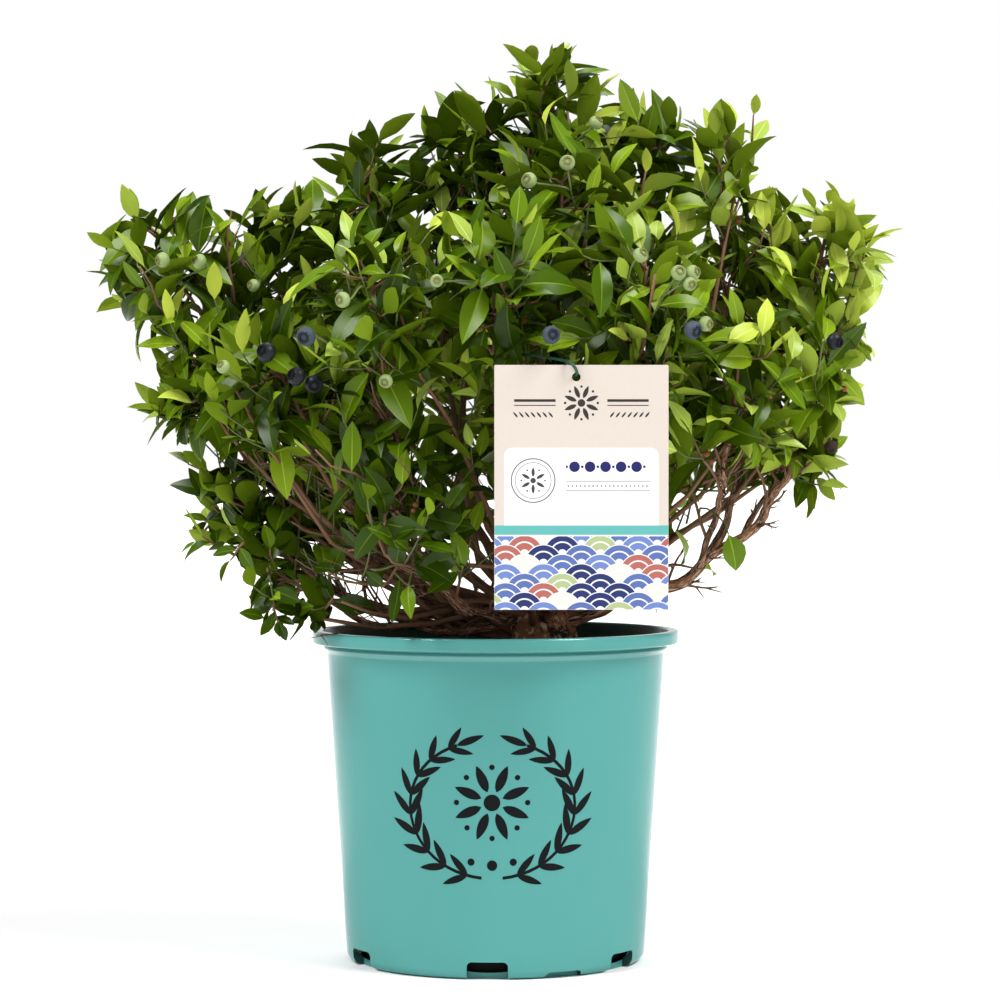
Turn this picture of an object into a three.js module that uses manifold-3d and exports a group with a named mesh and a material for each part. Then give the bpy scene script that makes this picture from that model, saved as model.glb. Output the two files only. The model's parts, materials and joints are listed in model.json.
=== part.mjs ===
// A potted blueberry bush: pot, soil, trunk, boughs, masses of leaves, and a hang tag on a tie.
// Millimetres, +Z up, +X to the right, -Y to the front.
// The origin is the centre of the pot's flat underside.
import * as THREE from 'three';
import { mergeVertices } from 'three/addons/utils/BufferGeometryUtils.js';
import Module from 'manifold-3d';

const wasm = await Module();
wasm.setup();

const vec = (x, y, z) => new THREE.Vector3(x, y, z);
const UP = vec(0, 0, 1);
const ACROSS = vec(1, 0, 0);

// ---------- Driving dimensions ----------

const GAP = 0.3; // air between neighbouring solids
const SLIVER = 0.1; // edges that a cut leaves shorter than this are closed up

// Pot: heights above the underside, and outer radii
const POT_HEIGHT = 207;
const RIM_RADIUS = 115;
const RIM_BAND = 8; // height of the rolled rim
const MOUTH_RADIUS = 108.8; // inside the rim
const BEAD_RADIUS = 108; // raised ring under the rim
const NECK_RADIUS = 106.7; // recess between bead and rim
const WALL_TOP_RADIUS = 106;
const WALL_TOP = 193;
const WALL_FOOT_RADIUS = 93.5;
const FOOT_ROUND = 6.5; // radius of the rounded bottom edge
const WALL = 2;
const FLOOR = 3;
const POT_SIDES = 40;

// Drain notches in the bottom edge, and the shallow arches between them
const NOTCH_COUNT = 6;
const NOTCH_WIDTH = 25;
const NOTCH_HEIGHT = 11;
const NOTCH_DEPTH = 8;
const NOTCH_ROUND = 3;
const NOTCH_TURN = -3; // degrees from the front, towards +X, of the first notch
const ARCH_COUNT = 3;
const ARCH_HEIGHT = 4;
const ARCH_TURN = 27;

const SOIL_LEVEL = 178;
const SOIL_FOOT_RADIUS = 82; // clear of the notches
const SOIL_SHOULDER = 17; // height where the soil reaches the wall

// Trunk: a short leaning stump that the boughs spring from
const TRUNK_FOOT = vec(31, 4, 172);
const TRUNK_HEAD = vec(26, 2, 221);
const TRUNK_RADIUS = 24;
const TRUNK_FLARE = 12; // added to the radius at the soil
const TRUNK_TAPER = 4; // lost from the radius at the head
const TRUNK_SIDES = 12;
const TRUNK_STEPS = 8;

// Hang tag and its tie
const CARD_WIDTH = 101;
const CARD_HEIGHT = 142;
const CARD_THICKNESS = 1;
const CARD_ROUND = 2;
const CARD_CENTRE = vec(50, -166, 298);
const HOLE_RADIUS = 3.2;
const HOLE_DROP = 7; // from the card's top edge to the hole's centre
const HOLE_ASIDE = -3; // from the card's middle
const TIE_RADIUS = 0.9;
const TIE_TURN = 4; // radius of the tie's round ends
const TIE_SPREAD = 3; // added to the half width of the loop round the bough
const TIE_STEPS = 12;
const TIE_BOUGH = 'front_mid';
const TIE_BOUGH_SHARE = 0.93;
const CARD_CLEARANCE = 6; // no leaf grows this near to the card's front

// Boughs: shares of the way from foot to tip that shape their curves
const BOUGH_INTO_SPACE = 0.62; // how far short of the centre a bough ends, of the half extents
const BOUGH_BELLY = 0.42;
const BOUGH_END = 0.3;
const BOUGH_CLIMB = 0.55; // upward share of the direction it ends in
const BOUGH_TAPER = 0.42; // tip radius, of the foot's
const BOUGH_TIP_RADIUS = 1.7; // at least
const LIMB_SIDES = 6;
const LIMB_STEPS = 5;

// Twigs and leaves
const TWIG_SIDES = 3;
const STEM_STEPS = 3;
const SHOOT_STEPS = 1;
const SHOOTS = 8; // directions tried in each mass
const STEM_RADIUS = 2.9; // corner radii of three-sided twigs, as strong as round ones of two thirds
const STEM_TIP_RADIUS = 2.6;
const SHOOT_RADIUS = 1.35;
const SHOOT_TIP_RADIUS = 1.35;
const CROWN_HEART = vec(0, 0, 330); // leaves turn their upper faces away from here
const SHORTEST_SHOOT = 26; // with its last leaf
const MOST_LEAVES = 5; // on a shoot
const LEAF_SPACING = 5;
const LEAF_LENGTH = 56;
const LEAF_WIDTH = 0.6; // of its length
const LEAF_FOLD = 0.16; // how far the sides are lifted, of the half width
const LEAF_WAIST = 0.45; // where it is widest, along its length
const LEAF_SUNK = 0.4; // root behind the twig's axis
const LEAF_TRIES = 9;
const LAST_LEAF = 0.8; // a shoot's last leaf, of the others' length
const LAST_LEAF_ROOM = 0.6; // and at most, of the way from the stem to the shoot's goal
const BERRY_RADIUS = 6.2;
const STALK_RADIUS = 0.9;
const ROOT_SHARE = 0.2; // of a leaf, from its root, that may touch its neighbours
const BACKWARD = 0.55; // directions nearer than this to the bough get no shoot
const CELL_MARGIN = 1;
const POT_CLEARANCE = 3;
const BELOW_RIM = 30; // leaves hang at most this far below the rim
const SEED = 101;
const SEED_STEP = 37;
const GOLDEN = Math.PI * (3 - Math.sqrt(5));

// Each mass of leaves keeps to its own space. In order: its name, the centre of its space and the
// half extents across, deep and tall; the limb that its bough leaves and the share of that limb's
// length where it does; how steeply it leaves (0 level, 1 upright); the bough's radius at its foot;
// and for a long sweeping bough its belly and the steepness of its end.
const MASS_ROWS = [
  ['left_tip', [-206, -10, 438], [54, 65, 54], 'left_long', 0.62, 0.35, 3.2],
  ['left_shoulder', [-138, 25, 436], [50, 63, 56], 'left_side', 0.6, 0.8, 3.4],
  ['left_long', [-180, -15, 361], [54, 73, 53], 'trunk', 0.5, 0.3, 6.2],
  ['left_low', [-156, 8, 283], [55, 69, 47], 'left_skirt', 0.55, 0.5, 3.4],
  ['left_skirt', [-122, -45, 237], [64, 65, 43], 'trunk', 0.75, 0.06, 5.2],
  ['left_side', [-128, -85, 362], [61, 59, 59], 'trunk', 0.7, 0.15, 6.4],
  ['upper_left', [-78, 0, 471], [52, 66, 55], 'upper_mid', 0.5, 0.6, 3.6],
  ['upper_mid', [-22, 20, 497], [52, 66, 57], 'trunk', 0.9, 0.8, 5.4],
  ['peak', [36, 0, 525], [49, 61, 62], 'trunk', 1, 0.95, 5.4],
  ['upper_right', [94, 14, 497], [47, 64, 55], 'peak', 0.45, 0.7, 3.6],
  ['right_crest', [140, -10, 488], [37, 60, 56], 'right_rise', 0.62, 0.8, 3.2],
  ['right_tip', [205, 5, 440], [50, 63, 53], 'right_rise', 0.6, 0.5, 3],
  ['right_rise', [158, 30, 412], [55, 64, 53], 'right_side', 0.38, 0.75, 4.6],
  ['right_side', [202, -25, 375], [40, 61, 51], 'trunk', 0.75, 0.2, 6.4, 0.64, 3],
  ['right_long', [183, 0, 328], [44, 58, 37], 'right_side', 0.5, 0.9, 2.8],
  ['front_mid', [4, -130, 412], [68, 61, 66], 'front_crest', 0.45, 0.3, 4],
  ['front_left', [-72, -115, 405], [61, 61, 64], 'front_low', 0.5, 0.5, 4],
  ['front_right', [88, -110, 410], [64, 61, 64], 'trunk', 0.75, 0.5, 5.2],
  ['front_low', [-62, -105, 284], [64, 64, 70], 'trunk', 0.65, 0.28, 5],
  ['front_crest', [40, -72, 466], [64, 55, 59], 'trunk', 0.95, 0.8, 5.2],
  ['front_far', [146, -80, 360], [57, 59, 64], 'right_side', 0.3, 0.7, 3.6],
  ['tag_back', [58, -85, 318], [64, 61, 57], 'trunk', 0.6, 0.35, 4.4],
  ['back_left', [-110, 115, 392], [70, 64, 68], 'back_low_left', 0.5, 0.5, 4],
  ['back_mid', [-8, 140, 420], [70, 61, 74], 'trunk', 0.85, 0.5, 5.4],
  ['back_right', [98, 115, 408], [70, 64, 68], 'back_low_right', 0.5, 0.5, 4],
  ['back_low_left', [-84, 115, 296], [66, 64, 59], 'trunk', 0.65, 0.25, 5.2],
  ['back_low_right', [92, 110, 300], [66, 64, 59], 'trunk', 0.65, 0.25, 5.2],
];
const MASSES = MASS_ROWS.map(([name, at, size, from, where, rise, girth, belly, climb]) => ({
  name, at, size, from, where, rise, girth, belly: belly ?? BOUGH_BELLY, climb: climb ?? BOUGH_CLIMB,
}));

// Berries that show from a step away: the mass each hangs in, and its place
const BERRIES = [
  { mass: 'left_side', at: [-143, -122, 381], ripe: true },
  { mass: 'left_side', at: [-124, -128, 366], ripe: true },
  { mass: 'left_side', at: [-112, -124, 358], ripe: true },
  { mass: 'front_mid', at: [33, -170, 391], ripe: true },
  { mass: 'front_right', at: [117, -142, 393], ripe: true },
  { mass: 'right_side', at: [205, -70, 385], ripe: true },
  { mass: 'front_mid', at: [-34, -158, 420], ripe: false },
  { mass: 'front_crest', at: [44, -108, 495], ripe: false },
  { mass: 'left_tip', at: [-196, -48, 435], ripe: false },
  { mass: 'back_mid', at: [10, 184, 430], ripe: true },
];

// ---------- Solids ----------

function solidOf(geometry) {
  const bare = geometry.clone();
  bare.deleteAttribute('normal');
  bare.deleteAttribute('uv');
  const merged = mergeVertices(bare, 1e-4);
  const mesh = new wasm.Mesh({
    numProp: 3,
    vertProperties: merged.getAttribute('position').array,
    triVerts: new Uint32Array(merged.index.array),
  });
  return new wasm.Manifold(mesh);
}

function geometryOf(solid) {
  const mesh = solid.getMesh();
  const geometry = new THREE.BufferGeometry();
  geometry.setAttribute('position', new THREE.BufferAttribute(mesh.vertProperties, 3));
  geometry.setIndex(new THREE.BufferAttribute(mesh.triVerts, 1));
  geometry.computeVertexNormals();
  return geometry;
}

const touches = (a, b) => !a.intersect(b).isEmpty();

// The main body of a solid, with its sealed hollows filled and its loose scraps dropped
function mainBody(solid) {
  const bodies = solid.asOriginal().simplify(SLIVER).decompose();
  return bodies.reduce((best, body) => (body.volume() > best.volume() ? body : best));
}

// ---------- Seeded numbers ----------

// mulberry32: numbers between two limits, the same on every run
function dice(seed) {
  let state = seed >>> 0;
  return (low = 0, high = 1) => {
    state = (state + 0x6d2b79f5) >>> 0;
    let t = state;
    t = Math.imul(t ^ (t >>> 15), t | 1);
    t ^= t + Math.imul(t ^ (t >>> 7), t | 61);
    return low + (high - low) * (((t ^ (t >>> 14)) >>> 0) / 4294967296);
  };
}

// ---------- Curves and limbs ----------

// A cubic curve with its point and direction at a share t of its length
function sweep(a, b, c, d) {
  const blend = (t) => {
    const s = 1 - t;
    return [s * s * s, 3 * s * s * t, 3 * s * t * t, t * t * t];
  };
  const point = (t) => {
    const w = blend(t);
    return vec(0, 0, 0)
      .addScaledVector(a, w[0])
      .addScaledVector(b, w[1])
      .addScaledVector(c, w[2])
      .addScaledVector(d, w[3]);
  };
  const direction = (t) => {
    const s = 1 - t;
    return vec(0, 0, 0)
      .addScaledVector(b.clone().sub(a), s * s)
      .addScaledVector(c.clone().sub(b), 2 * s * t)
      .addScaledVector(d.clone().sub(c), t * t)
      .normalize();
  };
  const chord = d.clone().sub(a);
  const steep = Math.hypot(chord.x, chord.y) < 0.4 * Math.abs(chord.z);
  const level = chord.cross(steep ? ACROSS : UP).normalize();
  // A frame that follows the curve without turning about it: two directions square to it
  const frame = (t) => {
    const along = direction(t);
    const x = level.clone().addScaledVector(along, -level.dot(along)).normalize();
    return { along, x, z: x.clone().cross(along) };
  };
  return { point, direction, frame };
}

// A cylinder bent along a curve; radiusAt gives its radius at a share of the length and an angle
function limb(curve, radiusAt, sides, steps) {
  const tube = new THREE.CylinderGeometry(1, 1, 1, sides, steps);
  const position = tube.getAttribute('position');
  for (let i = 0; i < position.count; i++) {
    const t = position.getY(i) + 0.5;
    const x = position.getX(i);
    const z = position.getZ(i);
    const frame = curve.frame(t);
    const radius = radiusAt(t, Math.atan2(z, x));
    const place = curve.point(t).addScaledVector(frame.x, x * radius).addScaledVector(frame.z, z * radius);
    position.setXYZ(i, place.x, place.y, place.z);
  }
  return solidOf(tube);
}

const lerp = THREE.MathUtils.lerp;
const tapered = (foot, tip) => (t) => lerp(foot, tip, t);

// ---------- Pot ----------

const radians = THREE.MathUtils.degToRad;

// A profile of [radius, height] pairs turned about Z
function turned(profile) {
  const points = profile.map(([r, z]) => new THREE.Vector2(r, z));
  return new THREE.LatheGeometry(points, POT_SIDES).rotateX(Math.PI / 2);
}

// An upright outline carried forward, towards -Y, by a depth
function prism(shape, depth) {
  const solid = new THREE.ExtrudeGeometry(shape, { depth, bevelEnabled: false, curveSegments: 3 });
  return solid.rotateX(Math.PI / 2);
}

// A cutter that stands across the pot's bottom edge, `turn` degrees from the front
function edgeCutter(shape, turn) {
  const cutter = prism(shape, 2 * NOTCH_DEPTH);
  cutter.translate(0, NOTCH_DEPTH - WALL_FOOT_RADIUS, 0);
  cutter.rotateZ(radians(turn));
  return solidOf(cutter);
}

function notchShape() {
  const half = NOTCH_WIDTH / 2;
  const shape = new THREE.Shape();
  shape.moveTo(-half, -1);
  shape.lineTo(half, -1);
  shape.lineTo(half, NOTCH_HEIGHT - NOTCH_ROUND);
  shape.absarc(half - NOTCH_ROUND, NOTCH_HEIGHT - NOTCH_ROUND, NOTCH_ROUND, 0, Math.PI / 2);
  shape.absarc(NOTCH_ROUND - half, NOTCH_HEIGHT - NOTCH_ROUND, NOTCH_ROUND, Math.PI / 2, Math.PI);
  return shape;
}

function archShape() {
  const shape = new THREE.Shape();
  shape.moveTo(-NOTCH_WIDTH / 2, -1);
  shape.lineTo(NOTCH_WIDTH / 2, -1);
  shape.absellipse(0, 0, NOTCH_WIDTH / 2, ARCH_HEIGHT, 0, Math.PI);
  return shape;
}

function potSolid() {
  const rimFoot = POT_HEIGHT - RIM_BAND;
  const footRound = [0, 45, 90].map((angle) => [
    WALL_FOOT_RADIUS - FOOT_ROUND + FOOT_ROUND * Math.sin(radians(angle)),
    FOOT_ROUND - FOOT_ROUND * Math.cos(radians(angle)),
  ]);
  const outside = [
    [0, 0],
    ...footRound,
    [WALL_TOP_RADIUS, WALL_TOP],
    [BEAD_RADIUS, WALL_TOP + 2],
    [BEAD_RADIUS, rimFoot - 2],
    [NECK_RADIUS, rimFoot],
    [RIM_RADIUS, rimFoot],
    [RIM_RADIUS, POT_HEIGHT],
  ];
  const inside = [
    [MOUTH_RADIUS, POT_HEIGHT],
    [WALL_TOP_RADIUS - WALL, rimFoot - 4],
    [WALL_FOOT_RADIUS - WALL, FLOOR + FOOT_ROUND],
    [WALL_FOOT_RADIUS - WALL - FOOT_ROUND, FLOOR],
    [0, FLOOR],
  ];
  let pot = solidOf(turned([...outside, ...inside]));
  for (let i = 0; i < NOTCH_COUNT; i++) {
    pot = pot.subtract(edgeCutter(notchShape(), NOTCH_TURN + (i * 360) / NOTCH_COUNT));
  }
  for (let i = 0; i < ARCH_COUNT; i++) {
    pot = pot.subtract(edgeCutter(archShape(), ARCH_TURN + (i * 360) / ARCH_COUNT));
  }
  return pot;
}

// The pot's inner radius at a height on the tapering wall
function innerRadius(z) {
  const low = FLOOR + FOOT_ROUND;
  const high = POT_HEIGHT - RIM_BAND - 4;
  return lerp(WALL_FOOT_RADIUS - WALL, WALL_TOP_RADIUS - WALL, (z - low) / (high - low));
}

function soilSolid() {
  const floor = FLOOR + GAP;
  return solidOf(turned([
    [0, floor],
    [SOIL_FOOT_RADIUS, floor],
    [innerRadius(SOIL_SHOULDER) - GAP - 0.1, SOIL_SHOULDER],
    [innerRadius(SOIL_LEVEL) - GAP - 0.1, SOIL_LEVEL],
    [0, SOIL_LEVEL],
  ]));
}

// ---------- Trunk and boughs ----------

function straight(from, to) {
  return sweep(from, from.clone().lerp(to, 1 / 3), from.clone().lerp(to, 2 / 3), to);
}

const trunkCurve = straight(TRUNK_FOOT, TRUNK_HEAD);

function trunkSolid(grown = 0) {
  return limb(trunkCurve, (t, angle) => trunkRadius(t, angle) + grown, TRUNK_SIDES, TRUNK_STEPS);
}

function trunkRadius(t, angle) {
  const lobes = 1 + 0.07 * Math.cos(3 * angle + 1) + 0.05 * Math.cos(5 * angle);
  const flare = TRUNK_FLARE * Math.exp(-6 * t);
  const dome = t > 0.99 ? 0.6 : 1;
  return (TRUNK_RADIUS - TRUNK_TAPER * t + flare) * lobes * dome;
}

const boughs = new Map();

// The curve and radii of a mass's bough, after those of the limb that it leaves
function boughOf(mass) {
  if (boughs.has(mass.name)) return boughs.get(mass.name);
  const parent = MASSES.find((other) => other.name === mass.from);
  const along = parent ? boughOf(parent).curve : trunkCurve;
  const foot = along.point(mass.where);
  const centre = vec(...mass.at);
  const size = vec(...mass.size);
  const away = centre.clone().sub(foot);
  const out = vec(away.x, away.y, 0).normalize();
  away.normalize();
  const inward = away.clone().multiplyScalar(0.8).addScaledVector(UP, 0.5).normalize();
  const tip = centre.clone().sub(inward.multiply(size).multiplyScalar(BOUGH_INTO_SPACE));
  const reach = tip.distanceTo(foot);
  const depart = out.multiplyScalar(1 - mass.rise).addScaledVector(UP, mass.rise).normalize();
  if (parent) depart.addScaledVector(along.direction(mass.where), 0.8).normalize();
  const arrive = away.addScaledVector(UP, mass.climb).normalize();
  const curve = sweep(
    foot,
    foot.clone().addScaledVector(depart, reach * mass.belly),
    tip.clone().addScaledVector(arrive, -BOUGH_END * reach),
    tip,
  );
  const bough = { curve, foot: mass.girth, tip: Math.max(BOUGH_TIP_RADIUS, BOUGH_TAPER * mass.girth) };
  boughs.set(mass.name, bough);
  return bough;
}

// A bough's solid, and the same grown by the gap, which others keep clear of
function boughSolid(bough, grown = 0) {
  return limb(bough.curve, tapered(bough.foot + grown, bough.tip + grown), LIMB_SIDES, LIMB_STEPS);
}

// ---------- Hang tag ----------

function roundedRectangle(width, height, round) {
  const x = width / 2 - round;
  const y = height / 2 - round;
  const shape = new THREE.Shape();
  shape.absarc(x, y, round, 0, Math.PI / 2);
  shape.absarc(-x, y, round, Math.PI / 2, Math.PI);
  shape.absarc(-x, -y, round, Math.PI, 1.5 * Math.PI);
  shape.absarc(x, -y, round, 1.5 * Math.PI, 2 * Math.PI);
  return shape;
}

const holeCentre = CARD_CENTRE.clone().add(vec(HOLE_ASIDE, 0, CARD_HEIGHT / 2 - HOLE_DROP));

function cardGeometry() {
  const shape = roundedRectangle(CARD_WIDTH, CARD_HEIGHT, CARD_ROUND);
  const hole = new THREE.Path();
  const { x, z } = holeCentre.clone().sub(CARD_CENTRE);
  hole.absarc(x, z, HOLE_RADIUS, 0, 2 * Math.PI, true);
  shape.holes.push(hole);
  const behind = CARD_CENTRE.y + CARD_THICKNESS / 2;
  return prism(shape, CARD_THICKNESS).translate(CARD_CENTRE.x, behind, CARD_CENTRE.z);
}

// A closed loop of cord with straight sides: one end through the card's hole, the other round a bough
function tieGeometry(bough) {
  const near = holeCentre.clone().addScaledVector(UP, TIE_TURN + HOLE_RADIUS - TIE_RADIUS - 2 * GAP);
  const far = bough.curve.point(TIE_BOUGH_SHARE);
  const along = far.clone().sub(near).normalize();
  const upright = UP.clone().addScaledVector(along, -UP.dot(along)).normalize();
  const across = upright.clone().cross(along);
  const half = near.distanceTo(far) / 2;
  const loop = new THREE.TorusGeometry(TIE_TURN, TIE_RADIUS, 6, TIE_STEPS).rotateZ(Math.PI / TIE_STEPS);
  const position = loop.getAttribute('position');
  for (let i = 0; i < position.count; i++) {
    const x = position.getX(i);
    const y = position.getY(i);
    const widen = x > 0 ? (TIE_SPREAD * y) / Math.hypot(x, y) : 0;
    position.setXY(i, x + Math.sign(x) * half, y + widen);
  }
  const frame = new THREE.Matrix4().makeBasis(along, upright, across.negate());
  return loop.applyMatrix4(frame.setPosition(near.lerp(far, 0.5)));
}

// ---------- Spaces of the masses ----------

const spaces = MASSES.map(({ at, size }) => ({
  centre: vec(...at),
  size: vec(...size),
  weight: ((size[0] + size[1] + size[2]) / 3) ** 2,
}));

function clearOfPot(p) {
  const overPot = Math.hypot(p.x, p.y) < RIM_RADIUS + POT_CLEARANCE;
  return p.z > (overPot ? POT_HEIGHT + POT_CLEARANCE : POT_HEIGHT - BELOW_RIM);
}

function clearOfCard(p) {
  const beside = Math.abs(p.x - CARD_CENTRE.x) - CARD_WIDTH / 2 > CARD_CLEARANCE;
  const beyond = Math.abs(p.z - CARD_CENTRE.z) - CARD_HEIGHT / 2 > CARD_CLEARANCE;
  return beside || beyond || p.y > CARD_CENTRE.y + CARD_CLEARANCE;
}

// How far a point lies inside the planes that part a space from its neighbours
function depthInCell(space, p) {
  const mine = p.distanceToSquared(space.centre) - space.weight;
  const gaps = spaces.filter((other) => other !== space).map((other) => {
    const theirs = p.distanceToSquared(other.centre) - other.weight;
    return (theirs - mine) / (2 * space.centre.distanceTo(other.centre));
  });
  return Math.min(...gaps);
}

function holds(space, p, margin = CELL_MARGIN) {
  const inEllipsoid = p.clone().sub(space.centre).divide(space.size).length() < 1;
  return inEllipsoid && depthInCell(space, p) > margin && clearOfPot(p) && clearOfCard(p);
}

// ---------- Growth of a mass ----------

// A twig between two points that leaves and arrives in given directions
function bent(from, depart, arrive, to) {
  const reach = to.distanceTo(from);
  const first = from.clone().addScaledVector(depart, 0.35 * reach);
  return sweep(from, first, to.clone().addScaledVector(arrive, -0.3 * reach), to);
}

// The stem of a mass, from just beyond its bough's tip to the heart of its space
function stemOf(space, bough) {
  const onward = bough.curve.direction(1);
  const entry = bough.curve.point(1).addScaledVector(onward, GAP);
  const inward = space.centre.clone().sub(entry).normalize().addScaledVector(UP, 0.4).normalize();
  const heart = space.centre.clone().add(inward.multiply(space.size).multiplyScalar(0.3));
  const arrive = heart.clone().sub(entry).normalize().addScaledVector(UP, 0.4).normalize();
  return bent(entry, onward, arrive, heart);
}

// The furthest point of a space in a direction that still lies inside its planes
function furthest(space, direction) {
  for (let share = 0.97; share > 0.35; share -= 0.06) {
    const p = direction.clone().multiply(space.size).multiplyScalar(share).add(space.centre);
    if (holds(space, p, 1.5)) return p;
  }
  return null;
}

// A shoot that leaves the stem on the way to a point, short of it by its last leaf
function shootTo(stem, share, goal) {
  const foot = stem.point(share);
  const room = goal.distanceTo(foot);
  if (room < SHORTEST_SHOOT) return null;
  const lastLeaf = Math.min(LAST_LEAF * LEAF_LENGTH, LAST_LEAF_ROOM * room);
  const way = goal.clone().sub(foot).normalize();
  const end = goal.clone().addScaledVector(way.clone().addScaledVector(UP, 0.15).normalize(), -lastLeaf);
  const depart = way.clone().addScaledVector(stem.direction(share), 0.6).normalize();
  const arrive = way.addScaledVector(UP, 0.35).normalize();
  return { curve: bent(foot, depart, arrive, end), reach: end.distanceTo(foot), lastLeaf };
}

// Directions spread evenly over a sphere
function spread(k, count, spin) {
  const z = 1 - (2 * k + 1) / count;
  const level = Math.sqrt(1 - z * z);
  return vec(level * Math.cos(k * GOLDEN + spin), level * Math.sin(k * GOLDEN + spin), z);
}

// Where a leaf leaves its twig, the way it points and the way its upper face looks.
// It comes out of the middle of one of the twig's three sides, the nearest to its turn.
function leafPose(twig, share, turn, open, lean) {
  const { along, x, z } = twig.frame(share);
  const third = (2 * Math.PI) / TWIG_SIDES;
  const angle = Math.PI + third * Math.round(turn / third);
  const outward = x.clone().multiplyScalar(Math.sin(angle)).addScaledVector(z, Math.cos(angle));
  const way = along.clone().multiplyScalar(Math.cos(open)).addScaledVector(outward, Math.sin(open));
  const base = twig.point(share);
  const sunward = base.clone().sub(CROWN_HEART).normalize().addScaledVector(UP, 0.4);
  const face = along.multiplyScalar(0.4).addScaledVector(sunward, 0.7).add(lean);
  face.addScaledVector(way, -face.dot(way));
  if (face.length() < 0.2) face.copy(x).addScaledVector(way, -x.dot(way));
  face.normalize();
  return { base, way, face, side: face.clone().cross(way) };
}

// A thin blade of four faces: one edge of the solid runs from root to tip, the other, lifted a
// little, from side to side. `root` is where it starts, from the twig's axis.
function leafSolid(pose, length, root) {
  const blade = new THREE.TetrahedronGeometry(Math.sqrt(3));
  const position = blade.getAttribute('position');
  const half = LEAF_WIDTH * length / 2;
  for (let i = 0; i < position.count; i++) {
    const toSide = position.getZ(i) > 0;
    const sign = Math.sign(position.getX(i));
    const x = toSide ? LEAF_WAIST * length : sign > 0 ? length : root;
    position.setXYZ(i, x, toSide ? sign * half : 0, toSide ? LEAF_FOLD * half : 0);
  }
  const frame = new THREE.Matrix4().makeBasis(pose.way, pose.side, pose.face);
  return solidOf(blade.applyMatrix4(frame.setPosition(pose.base)));
}

// The points of a leaf that have to lie in its space
function leafEdge(pose, length) {
  const half = LEAF_WIDTH * length / 2;
  const middle = pose.base.clone()
    .addScaledVector(pose.way, LEAF_WAIST * length)
    .addScaledVector(pose.face, LEAF_FOLD * half);
  return [
    pose.base.clone().addScaledVector(pose.way, length),
    middle.clone().addScaledVector(pose.side, half),
    middle.clone().addScaledVector(pose.side, -half),
  ];
}

// Leaves set round a shoot by the golden angle, the last one at its tip
function addLeaves(pieces, shoot, roll, space, obstacles) {
  const spin = roll(0, 2 * Math.PI);
  const count = THREE.MathUtils.clamp(1 + Math.round(shoot.reach / LEAF_SPACING), 1, MOST_LEAVES);
  for (let j = 0; j < count; j++) {
    const last = j === count - 1;
    const share = last ? 0.92 : lerp(0.35, 0.95, (j + 0.3) / count);
    const open = radians(last ? roll(4, 14) : roll(42, 66));
    const lean = vec(roll(-0.3, 0.3), roll(-0.3, 0.3), roll(-0.2, 0.2));
    const fullLength = last ? shoot.lastLeaf : LEAF_LENGTH * roll(0.85, 1.1);
    for (let attempt = 0; attempt < LEAF_TRIES; attempt++) {
      const turn = spin + j * GOLDEN + (attempt * 2 * Math.PI) / TWIG_SIDES;
      const pose = leafPose(shoot.curve, share, turn, open, lean);
      const length = fullLength * (1 - 0.05 * attempt);
      if (!leafEdge(pose, length).every((p) => holds(space, p))) continue;
      if (pieces.some((piece) => touches(leafSolid(pose, length, ROOT_SHARE * length), piece))) continue;
      const leaf = leafSolid(pose, length, -LEAF_SUNK);
      if (touches(leaf, obstacles)) continue;
      pieces.push(leaf);
      break;
    }
  }
}

// A berry on a short stalk from the nearest twig of its mass
function berrySolid(berry, twigs) {
  const centre = vec(...berry.at);
  const points = twigs.flatMap((twig) => [0.3, 0.5, 0.7, 0.85].map((share) => twig.point(share)));
  const foot = points.reduce((best, p) => (p.distanceTo(centre) < best.distanceTo(centre) ? p : best));
  const ball = new THREE.IcosahedronGeometry(BERRY_RADIUS).translate(centre.x, centre.y, centre.z);
  return limb(straight(foot, centre), () => STALK_RADIUS, TWIG_SIDES, 1).add(solidOf(ball));
}

// The points that a mass's shoots make for, the nearest to its bough first
function goalsOf(space, stem, spin) {
  const entry = stem.point(0);
  const back = entry.clone().sub(space.centre).normalize();
  const line = stem.point(1).sub(entry).normalize();
  const goals = [];
  for (let k = 0; k < SHOOTS; k++) {
    const direction = spread(k, SHOOTS, spin);
    const goal = direction.dot(back) < BACKWARD ? furthest(space, direction) : null;
    if (goal) goals.push(goal);
  }
  return goals.sort((p, q) => p.clone().sub(q).dot(line));
}

function massSolid(mass, space, stem, stemSolid, roll, obstacles) {
  const pieces = [stemSolid];
  const shoots = [];
  const goals = goalsOf(space, stem, roll(0, 2 * Math.PI));
  goals.forEach((goal, k) => {
    const share = lerp(0.15, 0.97, k / (goals.length - 1));
    const shoot = shootTo(stem, share, goal);
    if (!shoot) return;
    const solid = limb(shoot.curve, tapered(SHOOT_RADIUS, SHOOT_TIP_RADIUS), TWIG_SIDES, SHOOT_STEPS);
    if (touches(solid, obstacles)) return;
    shoots.push(shoot);
    pieces.push(solid);
  });
  const twigs = [stem, ...shoots.map((shoot) => shoot.curve)];
  const berries = BERRIES.filter((berry) => berry.mass === mass.name);
  berries.forEach((berry) => pieces.push(berrySolid(berry, twigs)));
  shoots.forEach((shoot) => addLeaves(pieces, shoot, roll, space, obstacles));
  return mainBody(wasm.Manifold.union(pieces).subtract(obstacles));
}

// ---------- Group ----------

const group = new THREE.Group();

function add(name, geometry, color, roughness) {
  const material = new THREE.MeshStandardMaterial({ color, roughness, metalness: 0 });
  const mesh = new THREE.Mesh(geometry, material);
  mesh.name = name;
  group.add(mesh);
}

const POT_COLOUR = '#67b3ad';
const SOIL_COLOUR = '#2e2419';
const BARK_COLOUR = '#6b5140';
const LEAF_COLOUR = '#4e6113';
const CARD_COLOUR = '#e9e0d5';
const TIE_COLOUR = '#2d5138';

add('pot', geometryOf(mainBody(potSolid())), POT_COLOUR, 0.35);
add('soil', geometryOf(soilSolid()), SOIL_COLOUR, 0.95);

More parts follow.
